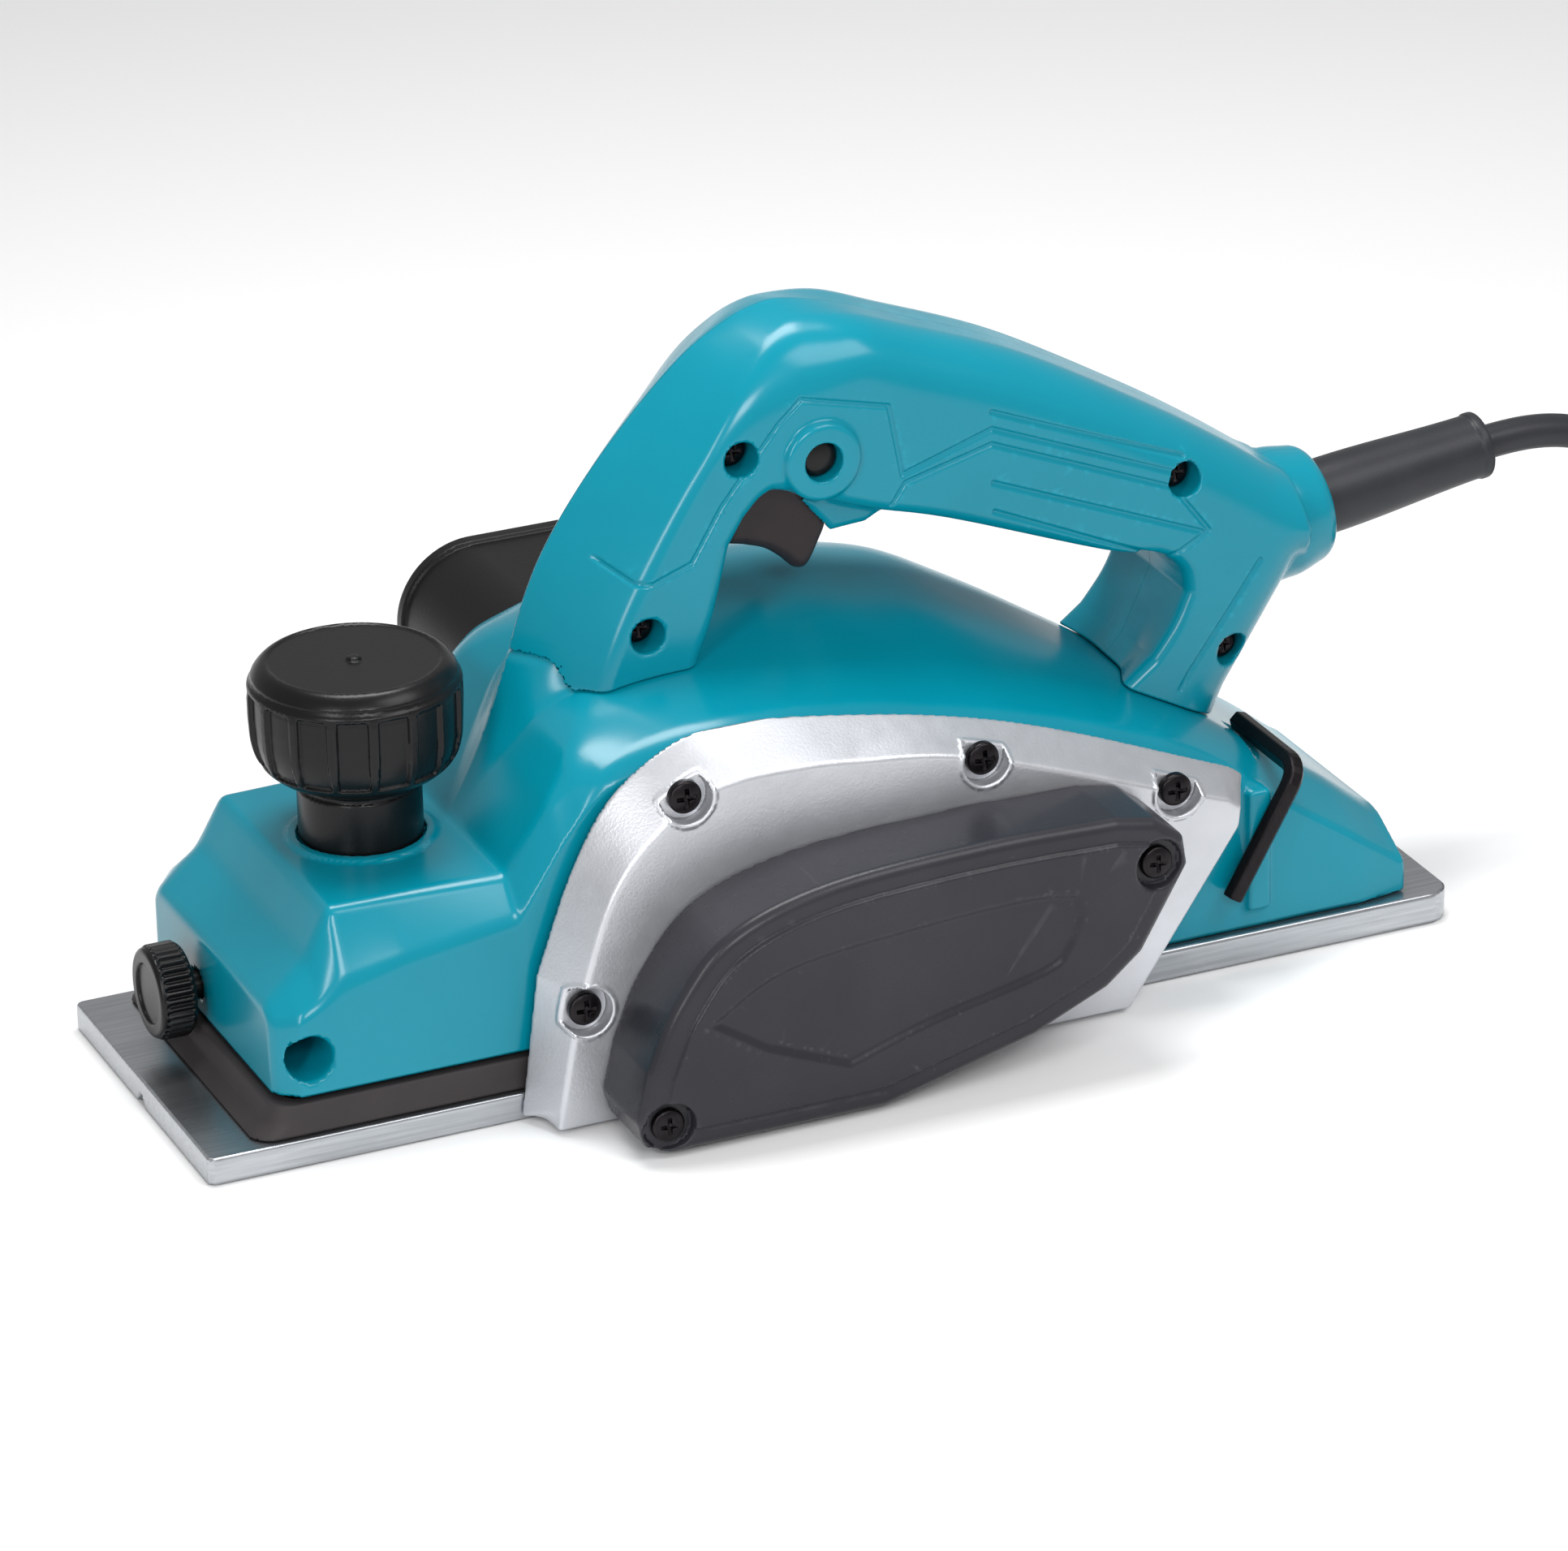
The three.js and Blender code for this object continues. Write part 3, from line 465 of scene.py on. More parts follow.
def editable(points, faces):
    shape = bmesh.new()
    for point in points:
        shape.verts.new(point)
    shape.verts.ensure_lookup_table()
    for face in faces:
        shape.faces.new([shape.verts[i] for i in face])
    return shape


def refined(points, faces, detail, reach, edge):
    """The same surface with short edges wherever detail(points) is under the reach."""
    shape = editable(points, faces)
    for _ in range(5):
        edges = list(shape.edges)
        ends = np.array([(*e.verts[0].co, *e.verts[1].co) for e in edges])
        middles = (ends[:, :3] + ends[:, 3:]) / 2
        lengths = np.linalg.norm(ends[:, :3] - ends[:, 3:], axis=1)
        chosen = (lengths > edge) & (detail(middles.T) < reach + lengths * 0.5)
        if not chosen.any():
            break
        bmesh.ops.subdivide_edges(shape, edges=[e for e, c in zip(edges, chosen) if c], cuts=1)
        bmesh.ops.triangulate(shape, faces=[f for f in shape.faces if len(f.verts) > 3])
    shape.verts.index_update()
    points = np.array([v.co for v in shape.verts], float)
    faces = without_folds([[v.index for v in f.verts] for f in shape.faces])
    shape.free()
    return points, faces


def cut_flat(points, faces, y, side):
    """The part of a closed surface on one side of the plane at y, with its flat end faces last."""
    shape = editable(points, faces)
    cut = bmesh.ops.bisect_plane(
        shape, geom=[*shape.verts, *shape.edges, *shape.faces], dist=1e-4,
        plane_co=(0, y, 0), plane_no=(0, -side, 0), clear_outer=True)
    bmesh.ops.triangulate(shape, faces=[f for f in shape.faces if len(f.verts) > 3])
    skin_faces = list(shape.faces)
    rim = [e for e in cut["geom_cut"] if isinstance(e, bmesh.types.BMEdge)]
    filled = bmesh.ops.triangle_fill(shape, use_beauty=True, edges=rim, normal=(0, -side, 0))
    flat = [f for f in filled["geom"] if isinstance(f, bmesh.types.BMFace)]
    shape.verts.index_update()
    points = np.array([v.co for v in shape.verts], float)
    faces = [[v.index for v in f.verts] for f in skin_faces]
    for face in flat:
        order = [v.index for v in face.verts]
        faces.append(order if face.normal.y * side < 0 else order[::-1])
    shape.free()
    return points, faces, len(flat)


def mould(name, field, low, high, step, material, keep=0.3, soft=0.25, detail=None, cuts=()):
    """A mesh of the shape that the field describes inside the box from low to high.

    detail is (distance to fine lines, how far they reach, their edge length). Each of the cuts is
    (name, y, side): the shape is made once and each cut gives the mesh of one side of a plane."""
    axes = [np.arange(a - 2 * step, b + 3 * step, step) for a, b in zip(low, high)]
    grid = np.meshgrid(*axes, indexing="ij", sparse=True)
    values = np.broadcast_to(field(grid), [len(a) for a in axes]) + 0
    points, faces = skin(values, axes, step)
    points, faces = thinned(points, faces, keep)
    if detail:
        points, faces = refined(points, faces, *detail)
    points = settle(field, points, step)
    pieces = []
    for label, y, side in cuts or [(name, None, 0)]:
        part, sides, flat = cut_flat(points, faces, y, side) if side else (points, faces, 0)
        normals = slope(field, part, soft)
        normals /= np.maximum(np.linalg.norm(normals, axis=1), 1e-9)[:, None]
        corners = normals[np.concatenate(sides).astype(int)]
        if flat:
            corners[-3 * flat:] = (0, -side, 0)
        pieces.append(mesh_object(label, part, sides, material, corners))
    return pieces if cuts else pieces[0]


def finished(piece, body, slot, *nodes):
    """Rides a new piece on its body and lets it stand for its CAD nodes."""
    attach(piece, body)
    if nodes:
        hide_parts(*nodes)
    return piece


# ---- places that several pieces share
DRUM = (110, 24.8)
DRUM_ROOM = 26.5
MOTOR = (172, 42)
ROD = (23.9, 22.4)
KNOB = (51, MID)
CLAMP = (50, 20.5)
FRAME_SCREWS = [(79.6, 26.7), (102.9, 69.4), (169.7, 64.6), (214.2, 48.6)]
COVER_SCREWS = [(88.6, 7.6), (199.3, 43.6)]
HANDLE_SCREWS = [(130.4, 126.8), (108.7, 91.7), (232.1, 103.8), (243.7, 62.4)]
HOUSING = {"front": 16.5, "back": 276, "sill": 14.3, "floor": 7.3, "sill_end": 101, "platform": 51.8}

# ---- outlines of the loop handle
HANDLE_HALF = 18.7
LOCK = (148.2, 123.6)
GUARD_ROOT = (271.5, MID, 85.4)
GUARD_TIP = (313, MID, 91)
GRIP_TOP = [(159.1, 150.3), (173, 145.3), (199.3, 134.6), (229.1, 117.8), (245.8, 107.2), (257, 99.4)]
HANDLE_BACK = [(270.4, 92), (275.3, 82), (272, 76.5), (262, 77.5), (245.6, 52), (239, 38)]
HANDLE_OUTER = [
    (84, 38), (84, 62),
    *smooth_curve([(84, 66), (84.2, 82), (89.7, 99.6), (97.4, 113.4), (109.7, 128.9), (123.8, 142.9),
                   (134.5, 149.9), (142.3, 152.7), (148.5, 152.9), *GRIP_TOP]),
    *HANDLE_BACK,
]
HANDLE_CREASE = [
    (95.5, 38), (95.8, 66),
    *smooth_curve([(96.4, 72), (98.6, 81), (102.5, 91.8), (110, 106.2), (119.2, 121.7), (129.3, 135.6),
                   (137.5, 143.4), (146, 148.4), *GRIP_TOP]),
    *HANDLE_BACK,
]
HANDLE_OPENING = [
    (116, 38), (117, 66), *smooth_curve([(120.5, 84), (124.1, 93.2), (127.9, 107.7)], 4),
    *smooth_curve([(131.5, 113.4), (135.8, 117.4), (140.7, 117.4), (158.8, 110.3), (178, 104.4),
                   (213.8, 90.6), (226.8, 87.3), (232, 83), (233, 78)], 5),
    (229.5, 70), (226, 63), (220.5, 57), (214, 38),
]
OUTER = outline(HANDLE_OUTER, 22, blur=3)
CREASE = outline(HANDLE_CREASE, 22, blur=3)
OPENING = outline(HANDLE_OPENING, 22, blur=3)
PANEL_LINES = [
    [(99.5, 108.3), (106.5, 103.2), (110, 103), (118.8, 106.1), (125.6, 117.2), (138.6, 133.1),
     (143.8, 137.7), (163.5, 132.8), (166.4, 117.1), (186.9, 123.6)],
    [(164.1, 110.9), (167.1, 115.2), (186.9, 120.2)],
    [(249.8, 82.5), (244.4, 75), (232.9, 59.4), (231, 56)],
]
RIB_ENDS = [
    ((186.9, 127.4), (232, 108.9)), ((186.9, 123.6), (231, 105.5)), ((186.9, 120.2), (229, 102.9)),
    ((187.2, 111.5), (236, 91.5)), ((187.4, 105), (228, 86.6)),
]
GRIP_LINES = strokes([*map(list, RIB_ENDS), [(228, 86.6), (237.6, 91.6), (229, 102.9)]])
PANELS = strokes(PANEL_LINES)
SHROUD = outline([(146, 113), (153, 104.5), (161, 105), (166, 107.5), (160, 114)], 10)


# ---- motor housing and loop handle
# x, near side, its top, near ridge y and z, far ridge y and z, far side's top, far side
SECTIONS = np.array([
    (16, 7, 29.5, 9, 32, 73, 32, 29.5, 75),
    (22, 2, 31.5, 9.4, 37.5, 73, 37.5, 33, 80),
    (26, 2, 33.4, 9.8, 41, 72.8, 41, 35, 80),
    (31.6, 2, 36.4, 10, 51.7, 72.5, 51.7, 38, 80),
    (45, 2, 40.2, 9.8, 51.8, 72.8, 51.8, 41.5, 80),
    (70, 2, 44, 9, 51.8, 73, 51.8, 44, 80),
    (79.5, 0.5, 56, 8, 66.5, 72, 67.5, 56, 80),
    (86, 0, 64, 9, 74.5, 70, 78, 66, 82),
    (93, 0, 71.5, 9, 78.5, 70, 83.5, 74, 82),
    (104.8, 0, 77.5, 10, 82, 68, 88, 78, 82),
    (118, 0, 79.3, 10, 82.8, 66, 91, 81, 82),
    (135, 0, 78.2, 10, 81.8, 66, 92.5, 83, 82),
    (155, 0, 74.6, 10, 79, 66, 91.5, 82, 82),
    (180, 0, 67.4, 11, 73, 67, 85.5, 75, 82),
    (201, 0, 60, 12, 66.5, 68, 73, 62, 82),
    (224, 0.5, 49.5, 14, 57, 68, 58, 49, 81.5),
    (249, 2, 32.7, 17, 40.4, 65, 40.4, 32.7, 80),
    (263.4, 2, 22.9, 17, 31, 65, 31, 22.9, 80),
    (276, 4, 13.8, 17, 21, 65, 21, 13.8, 78),
])
FINE_X = np.arange(10, 290, 0.5)


def softened_sections():
    """The section table sampled finely along x, its kinks rounded more on the hump than in front."""
    width = 1.2 + 7.5 * ease(FINE_X, 80, 100) - 4.5 * ease(FINE_X, 228, 250)
    shifts = np.linspace(-1, 1, 9)
    weights = np.cos(shifts * 1.4)
    weights /= weights.sum()
    rows = []
    for column in SECTIONS.T[1:]:
        rows.append(sum(w * np.interp(FINE_X + s * width, SECTIONS[:, 0], column)
                        for s, w in zip(shifts, weights)))
    return rows


SOFT_SECTIONS = softened_sections()


def tilted(y, z, start, end):
    """Distance above the line from start to end in a cross-section, with y growing along it."""
    dy, dz = end[0] - start[0], end[1] - start[1]
    return ((z - start[1]) * dy - (y - start[0]) * dz) / np.hypot(dy, dz)


def housing_top(p):
    """The housing's outside without its floor."""
    x, y, z = p
    y0, z0, ya, za, yb, zb, z1, y1 = (np.interp(x, FINE_X, row) for row in SOFT_SECTIONS)
    humped = ease(x, 78, 100) * (1 - ease(x, 222, 246))
    shoulder = 1.6 + 5.9 * humped
    ridge = 1.6 + 9 * humped
    shape = both(tilted(y, z, (ya, za), (yb, zb)), tilted(y, z, (y0, z0), (ya, za)), ridge)
    shape = both(shape, tilted(y, z, (yb, zb), (y1, z1)), ridge)
    shape = both(shape, y0 - y, shoulder)
    shape = both(shape, y - y1, shoulder)
    shape = both(shape, HOUSING["front"] - x, 1.6)
    return both(shape, x - HOUSING["back"], 1)


def corner_posts(p):
    """The upright front corners in plan."""
    x, y, _ = p
    return both(HOUSING["front"] - x, slab(y, 2, 80), 6)


def housing_outside(p):
    x, y, z = p
    neck = both(disc(x, y, KNOB, 15.6), slab(z, 40, HOUSING["platform"] + 0.9), 0.6)
    shape = both(housing_top(p), corner_posts(p), 0.4)
    shape = merged(shape, neck, 0.8)
    clip = block(p, (236, -0.2, 12), (241.5, 4, 40), 1.2)
    shape = merged(shape, clip, 1.5)
    off = np.abs(y - MID)
    across = np.clip(off / HANDLE_HALF, 0, 1)
    leg = (1 - across) * OUTER(x, z) + across * CREASE(x, z)
    toe = both(both(leg + 0.4, off - 11, 4), np.maximum(z - 86, x - 112), 2)
    return merged(shape, toe, 15 - 14.5 * ease(off, 2, 19))


NOZZLE = {"x0": 92.5, "x1": 140, "z0": 40.4, "z1": 75.6, "y0": 82.3, "y1": 126.3, "wall": 2.4}


def nozzle_section(p):
    """Rounded tube section: a half circle towards the front and soft corners behind."""
    x, _, z = p
    half = (NOZZLE["z1"] - NOZZLE["z0"]) / 2
    middle = (NOZZLE["z1"] + NOZZLE["z0"]) / 2
    front = both(NOZZLE["x0"] - x, np.abs(z - middle) - half, half)
    return both(front, both(x - NOZZLE["x1"], np.abs(z - middle) - half, 9), 0)


VENTS = {"x0": 150, "pitch": 9, "count": 6, "low": 26, "high": 50, "width": 2.2}


def vents(p):
    """Cooling slots for the motor on the side away from the belt."""
    x, y, z = p
    first, pitch = VENTS["x0"], VENTS["pitch"]
    last = first + pitch * (VENTS["count"] - 1)
    nearest = first + pitch * np.round((np.clip(x, first, last) - first) / pitch)
    across = np.hypot(x - nearest - 0.25 * (z - 38), np.maximum(slab(z, VENTS["low"], VENTS["high"]), 0))
    return both(across - VENTS["width"], 70 - y)


def housing_field(p):
    x, y, z = p
    sill = np.where(x < HOUSING["sill_end"], HOUSING["sill"], HOUSING["floor"])
    shape = both(housing_outside(p), sill - z, 0.5)
    steep = 1 - ease(x, 32, 38) + ease(x, 62, 68) * (1 - ease(x, 92, 104))
    cavity = housing_top(p) + WALL * (1 + 1.3 * steep)
    rod_wall = pin_y(p, ROD, 7.4, 3, 34)
    shape = carved(shape, carved(cavity, rod_wall, 1), 0.4)
    rod_hole = disc(x, z, ROD, 4.9 + 0.5 * ease(-y, -3.2, -2.2))
    shape = carved(shape, both(rod_hole, y - 30), 0.4)
    shape = carved(shape, disc(x, z, DRUM, DRUM_ROOM), 0.4)
    mouth = block(p, (DRUM[0] - 19, -5, -1), (DRUM[0] + 19, 90, DRUM[1]))
    shape = carved(shape, mouth, 0.4)
    shelf = block(p, (243.9, -5, 41.4), (258.9, 28, 60), 0.5)
    shape = carved(shape, shelf, 0.5)
    shape = carved(shape, both(disc(y, z, CLAMP, 3.3), x - 30))
    shape = carved(shape, both(disc(x, y, KNOB, 5), 30 - z), 0.4)
    shape = carved(shape, both(disc(x, y, KNOB, 13.4), HOUSING["platform"] - z), 0.3)
    shape = carved(shape, pin_y(p, MOTOR, 13, -5, 10))
    shape = carved(shape, both(nozzle_section(p) + NOZZLE["wall"] + 0.5, slab(y, 70, 90)))
    return carved(shape, vents(p), 0.5)


def make_housing():
    piece = mould("housing_shell", housing_field, (16, -1, 7), (277, 83, 95), 0.95, TEAL, 0.4)
    return finished(piece, "shell", "teal_housing", "main_housing")


def along_guard(p):
    """Distance out from the cord guard's leaning axis, and along it from its root."""
    root, tip = np.array(GUARD_ROOT), np.array(GUARD_TIP)
    unit = (tip - root) / np.linalg.norm(tip - root)
    along = (p[0] - root[0]) * unit[0] + (p[2] - root[2]) * unit[2]
    rise = (p[2] - root[2]) * unit[0] - (p[0] - root[0]) * unit[2]
    return np.hypot(rise, p[1] - root[1]), along


def handle_outside(p):
    """The loop with its creased front leg and the barrel that holds the cord guard."""
    x, y, z = p
    off = np.abs(y - MID)
    across = np.clip(off / HANDLE_HALF, 0, 1) ** 1.15
    edge = (1 - across) * OUTER(x, z) + across * CREASE(x, z)
    leg = ease(-x, -152, -122)
    shape = both(edge, off - HANDLE_HALF, 1.7 * leg + (1 - leg) * 12)
    foot = 5 * (1 - ease(z, 50, 74)) * ease(x, 200, 214)
    shape = both(shape, -OPENING(x, z) - foot * ease(off, 6, 18), 3.2)
    ring, along = along_guard(p)
    shape = both(shape, along + 8.6, 1.2)
    barrel = both(ring - 14.4 + 1.6 * ease(along, -9, 0), slab(along, -22, 0.8), 3.2)
    return merged(shape, barrel, 0.5)


def handle_trimmings(p, shape):
    """The shape with the lock's raised boss and the shroud behind the trigger."""
    x, y, z = p
    shape = merged(shape, pin_y(p, LOCK, 8.6, 20.7, 40, 1.4), 1)
    return merged(shape, both(SHROUD(x, z), np.abs(y - MID) - 12.5, 2), 2)


def line_reach(p):
    """Distance to the panel and grip lines on the handle's sides."""
    x, y, z = p
    lines = np.minimum(PANELS(x, z), GRIP_LINES(x, z))
    return np.where(np.abs(y - MID) > 8, lines, 9)


def handle_detail(p):
    """Distance to the handle's fine lines and to its foot on the housing."""
    foot = np.maximum(np.abs(handle_outside(p)), np.abs(housing_outside(p) - GAP))
    return np.minimum(line_reach(p), foot)


def engraved(p, depth=0.5, half_width=0.8):
    """How far the panel and grip lines sink into the handle's sides."""
    return depth * (1 - ease(line_reach(p), 0.1, half_width)) * ease(np.abs(p[1] - MID), 8, 10)


def handle_field(p):
    x, y, z = p
    plain = handle_outside(p)
    posts = discs(p, HANDLE_SCREWS, 5.4)
    shape = carved(handle_trimmings(p, plain) + engraved(p), carved(plain + 4, posts, 0.5), 0.3)
    shape = carved(shape, housing_outside(p) - GAP, 0.7)
    shape = carved(shape, block(p, (128.6, 30.2, 95), (158, 51.8, 126), 0.4), 0.5)
    ring, along = along_guard(p)
    shape = carved(shape, both(ring - 8.7, -10.5 - along), 0.4)
    heads = discs(p, HANDLE_SCREWS, 3.8)
    shanks = discs(p, HANDLE_SCREWS, 1.9)
    shape = carved(shape, both(heads, y - 30), 0.5)
    shape = carved(shape, both(shanks, y - 54))
    return carved(shape, both(disc(x, z, LOCK, 4.2), y - 52), 0.5)


def make_handle():
    seam = 0.06
    near, far = mould(
        "handle", handle_field, (82, 20, 38), (277, 62, 154), 0.75, TEAL, 0.35,
        detail=(handle_detail, 0.9, 0.55),
        cuts=[("handle_half_near", MID - seam, -1), ("handle_half_far", MID + seam, 1)])
    finished(near, "shell", "teal_housing", "handle_left")
    finished(far, "shell", "teal_housing", "handle_right")


# ---- casting and cover on the belt side
FRAME_Y = (-10.4, -0.3)
FRAME_INNER = outline([
    (206.4, 1), (67.8, 1),
    *smooth_curve([(72, 32.5), (80.2, 53.7), (89.6, 69), (104.3, 78.6), (118, 79.9), (132, 78.8),
                   (162.5, 73), (190.4, 64.4), (231, 47.6)], 20),
    (234, 45.4), (233.2, 39),
], 8, blur=6)
FRAME_OUTER = outline([
    (202.7, 1), (72.3, 1),
    *smooth_curve([(77.2, 26.8), (86.5, 52.2), (101.2, 67.3), (113, 71.3), (127.5, 71.6), (140, 70.6),
                   (166.7, 66.2), (211.6, 49.8), (226, 44.6)], 20),
    (228.6, 42.4), (228.2, 38),
], 14, blur=6)


def frame_field(p):
    x, y, z = p
    share = np.clip((FRAME_Y[1] - y) / (FRAME_Y[1] - FRAME_Y[0]), 0, 1)
    edge = (1 - share) * FRAME_INNER(x, z) + share * FRAME_OUTER(x, z)
    shape = both(edge, slab(y, *FRAME_Y), 0.7)
    pockets = discs(p, FRAME_SCREWS, 5.2)
    rims = both(both(pockets - 1, y + 6, 0.3), edge - 0.25, 0.3)
    shape = merged(shape, both(rims, FRAME_Y[0] - 0.35 - y, 0.3), 0.3)
    shape = carved(shape, both(pockets, y + 7), 0.5)
    shape = carved(shape, discs(p, FRAME_SCREWS, 2.3))
    holes = discs(p, COVER_SCREWS, 1.9)
    shape = carved(shape, both(holes, y + 4))
    for centre, seat, bore in ((DRUM, 13.3, 8), (MOTOR, 11.3, 6)):
        shape = carved(shape, both(disc(x, z, centre, seat), -9 - y))
        shape = carved(shape, disc(x, z, centre, bore), 0.4)
    return shape


COVER_Y = (-31.5, -10.7)
COVER_OUTLINE = outline([
    (137, 1.2), (88.5, 1.2), (83.5, 3.5), (82, 9),
    *smooth_curve([(84.5, 20), (91, 34), (103, 47), (125, 54), (160, 56), (190, 55.4)], 16),
    (199, 53.6), (205.5, 48.5), (206.5, 42), (196, 24), (188, 17.4), (171, 10),
], 12, blur=5)
PANEL = outline([
    *smooth_curve([(97, 29), (114.5, 38.2), (143.7, 41.6), (170, 42.6), (181, 41)], 6),
    *smooth_curve([(182, 36), (178.9, 28.9), (173, 24.4), (147.1, 18.6), (128.3, 12.8)], 6), (110, 20.4),
], 6, blur=6)


def cover_field(p):
    x, y, z = p
    edge = COVER_OUTLINE(x, z)
    plateau = 0.9 * ease(edge, -5.6, -4.6)
    recess = 0.9 * (1 - ease(PANEL(x, z), -1.8, 0.4))
    face = COVER_Y[0] + plateau + recess
    shape = both(edge, face - y, 2.6)
    shape = both(shape, y - COVER_Y[1], 0.3)
    bosses = discs(p, COVER_SCREWS, 5)
    cavity = both(both(edge + 2.4, COVER_Y[0] + 3.6 - y, 1), -bosses, 1)
    shape = carved(shape, cavity, 0.3)
    ears = discs(p, COVER_SCREWS, 5.4)
    shape = carved(shape, both(ears, y + 28.4), 0.7)
    return carved(shape, discs(p, COVER_SCREWS, 1.9))


def panel_reach(p):
    x, y, z = p
    near = np.minimum(np.abs(PANEL(x, z) + 0.7), np.abs(COVER_OUTLINE(x, z) + 5.1))
    return np.where(y < COVER_Y[0] + 4, near, 9)


def make_belt_side():
    piece = mould("side_casting", frame_field, (66, -11, 0.5), (235, 0, 81), 0.65, SILVER, 0.3)
    finished(piece, "shell", "silver_casting", "side_frame")
    piece = mould("belt_cover_shell", cover_field, (81, -32, 0.5), (208, -10, 57), 0.75, CHARCOAL, 0.4,
                  detail=(panel_reach, 1.3, 0.6))
    finished(piece, "shell", "charcoal_cover", "belt_cover")


# ---- soles, skirt and end plate
def plan_box(x, y, x0, x1, inset, cut):
    """Distance in plan to a sole with its front corners cut and its back corners rounded."""
    across = np.abs(y - MID) - (MID - inset)
    front = (x0 - x + across + cut) / math.sqrt(2)
    return np.maximum(both(across, x - x1, 5), np.maximum(x0 - x, front))


def shoe_field(p):
    x, y, z = p
    plate = both(plan_box(x, y, 0, DRUM[0] - 2, 0, 1.2), slab(z, 0, 6), 0.45)
    groove = (np.abs(y - MID) + z - 2.6) / math.sqrt(2)
    shape = carved(plate, groove, 0.25)
    boss = both(disc(x, y, KNOB, 9), slab(z, 5, 40), 0.5)
    shape = merged(shape, boss, 1.2)
    shape = carved(shape, both(disc(x, y, KNOB, 4.3), 10 - z), 0.2)
    return carved(shape, disc(x, z, DRUM, DRUM_ROOM), 0.3)


def rear_sole_field(p):
    x, y, z = p
    plan = both(both(slab(y, 0, 82), x - 286, 6), DRUM[0] - x)
    return carved(both(plan, slab(z, 0, 7), 0.6), disc(x, z, DRUM, DRUM_ROOM), 0.3)


SKIRT = {"x0": 10.4, "x1": 89, "foot": 6.3, "waist": 9.2, "top": 13.1}


def skirt_field(p):
    x, y, z = p
    levels = [SKIRT["foot"], SKIRT["waist"], SKIRT["top"]]
    inset = np.interp(z, levels, [0, 0.6, 0.8])
    front = SKIRT["x0"] + np.interp(z, levels, [0, 3.6, 4.9])
    across = np.abs(y - MID) - (MID - 1.2 - inset)
    outer = both(both(across, front - x, 5.5), x - SKIRT["x1"])
    inner = block(p, (20, 5.5, 0), (100, 76.5, 20), 2)
    return both(carved(outer, inner, 0.6), slab(z, SKIRT["foot"], SKIRT["top"]), 0.5)


def end_plate_field(p):
    x, y, z = p
    plate = both(disc(x, z, DRUM, 27.5), slab(y, 82.3, 85.2), 0.8)
    plate = both(plate, slab(z, 1, NOZZLE["z0"] - GAP), 0.8)
    boss = pin_y(p, DRUM, 15, 83, 91.5, 1.6)
    turns = np.mod(np.arctan2(z - DRUM[1], x - DRUM[0]), math.pi / 3) - math.pi / 6
    ribs = both(np.abs(np.hypot(x - DRUM[0], z - DRUM[1]) * np.sin(turns)) - 1.1, y - 87.5, 0.5)
    shape = merged(plate, boss, 1.5)
    shape = merged(shape, both(both(ribs, disc(x, z, DRUM, 24)), slab(y, 84, 88), 0.5), 0.8)
    shape = both(shape, slab(z, 1, NOZZLE["z0"] - GAP), 0.4)
    return carved(shape, pin_y(p, DRUM, 11.3, 80, 89.6))


def make_soles():
    piece = mould("front_shoe_plate", shoe_field, (-1, -1, -1), (109, 83, 41), 0.7, SOLE, 0.25)
    finished(piece, "front_shoe", "machined_sole", "front_base")
    piece = mould("rear_sole_plate", rear_sole_field, (109, -1, -1), (287, 83, 8), 0.8, SOLE, 0.2)
    finished(piece, "shell", "silver_casting", "rear_base")
    piece = mould("dust_skirt", skirt_field, (10, 0, 6), (90, 82, 14), 0.6, RUBBER, 0.3)
    finished(piece, "front_shoe", "rubber_skirt", "front_skirt")
    piece = mould("bearing_plate", end_plate_field, (81, 82, 0), (139, 92, 41), 0.6, SILVER, 0.4)
    finished(piece, "shell", "silver_casting", "drum_end_plate")


# ---- knobs, trigger and button
KNOB_PROFILE = outline([
    (-6, 51.8), (13, 51.8), (13, 63.4), (12.5, 63.8), (12.5, 64.6), (13.2, 65),
    *smooth_curve([(14.5, 66), (17.8, 67.4), (20.6, 70.2), (22, 74.5), (22.4, 80)], 6),
    *smooth_curve([(22.4, 84.6), (22, 87), (20.8, 89.2), (19.4, 90.6), (18.2, 91.1)], 5),
    (17.6, 90.7), (-6, 90.7),
], 4, 0.15, blur=2)
KNOB_WINDOWS = 16


def knob_field(p):
    """A turned head with shallow windows between narrow ribs."""
    x, y, z = p
    u, v = x - KNOB[0], y - KNOB[1]
    radius = np.hypot(u, v)
    pitch = 2 * math.pi / KNOB_WINDOWS
    turn = np.mod(np.arctan2(v, u) + pitch / 2, pitch) - pitch / 2
    window = both(np.abs(turn) * radius - 3.5, slab(z, 69.6, 86), 0.8)
    sunk = 0.95 * (1 - ease(window, -0.6, 0.05))
    ledge = 0.5 * (1 - ease(np.abs(z - 87.6), 0.3, 0.9)) * ease(radius, 19.5, 20.5)
    nub = both(radius - 1.5, slab(z, 88, 91.5), 0.5)
    shape = merged(KNOB_PROFILE(radius + sunk + ledge * 0.5, z), nub, 0.4)
    return carved(shape, both(radius - 4.3, z - 85.3))


def clamp_field(p):
    x, y, z = p
    u, v = y - CLAMP[0], z - CLAMP[1]
    radius = np.hypot(u, v)
    knurl = 0.4 * np.cos(np.arctan2(v, u) * 36) * ease(x, 6.4, 7.4) * (1 - ease(x, 12.2, 13))
    head = both(radius - 9.7 - knurl, slab(x, 5.5, 13.6), 1.2)
    dish = both(radius - 6.4, x - 6.1)
    head = carved(head, dish, 0.5)
    return merged(head, both(radius - 3, slab(x, 13, 27.6), 0.3), 0.3)


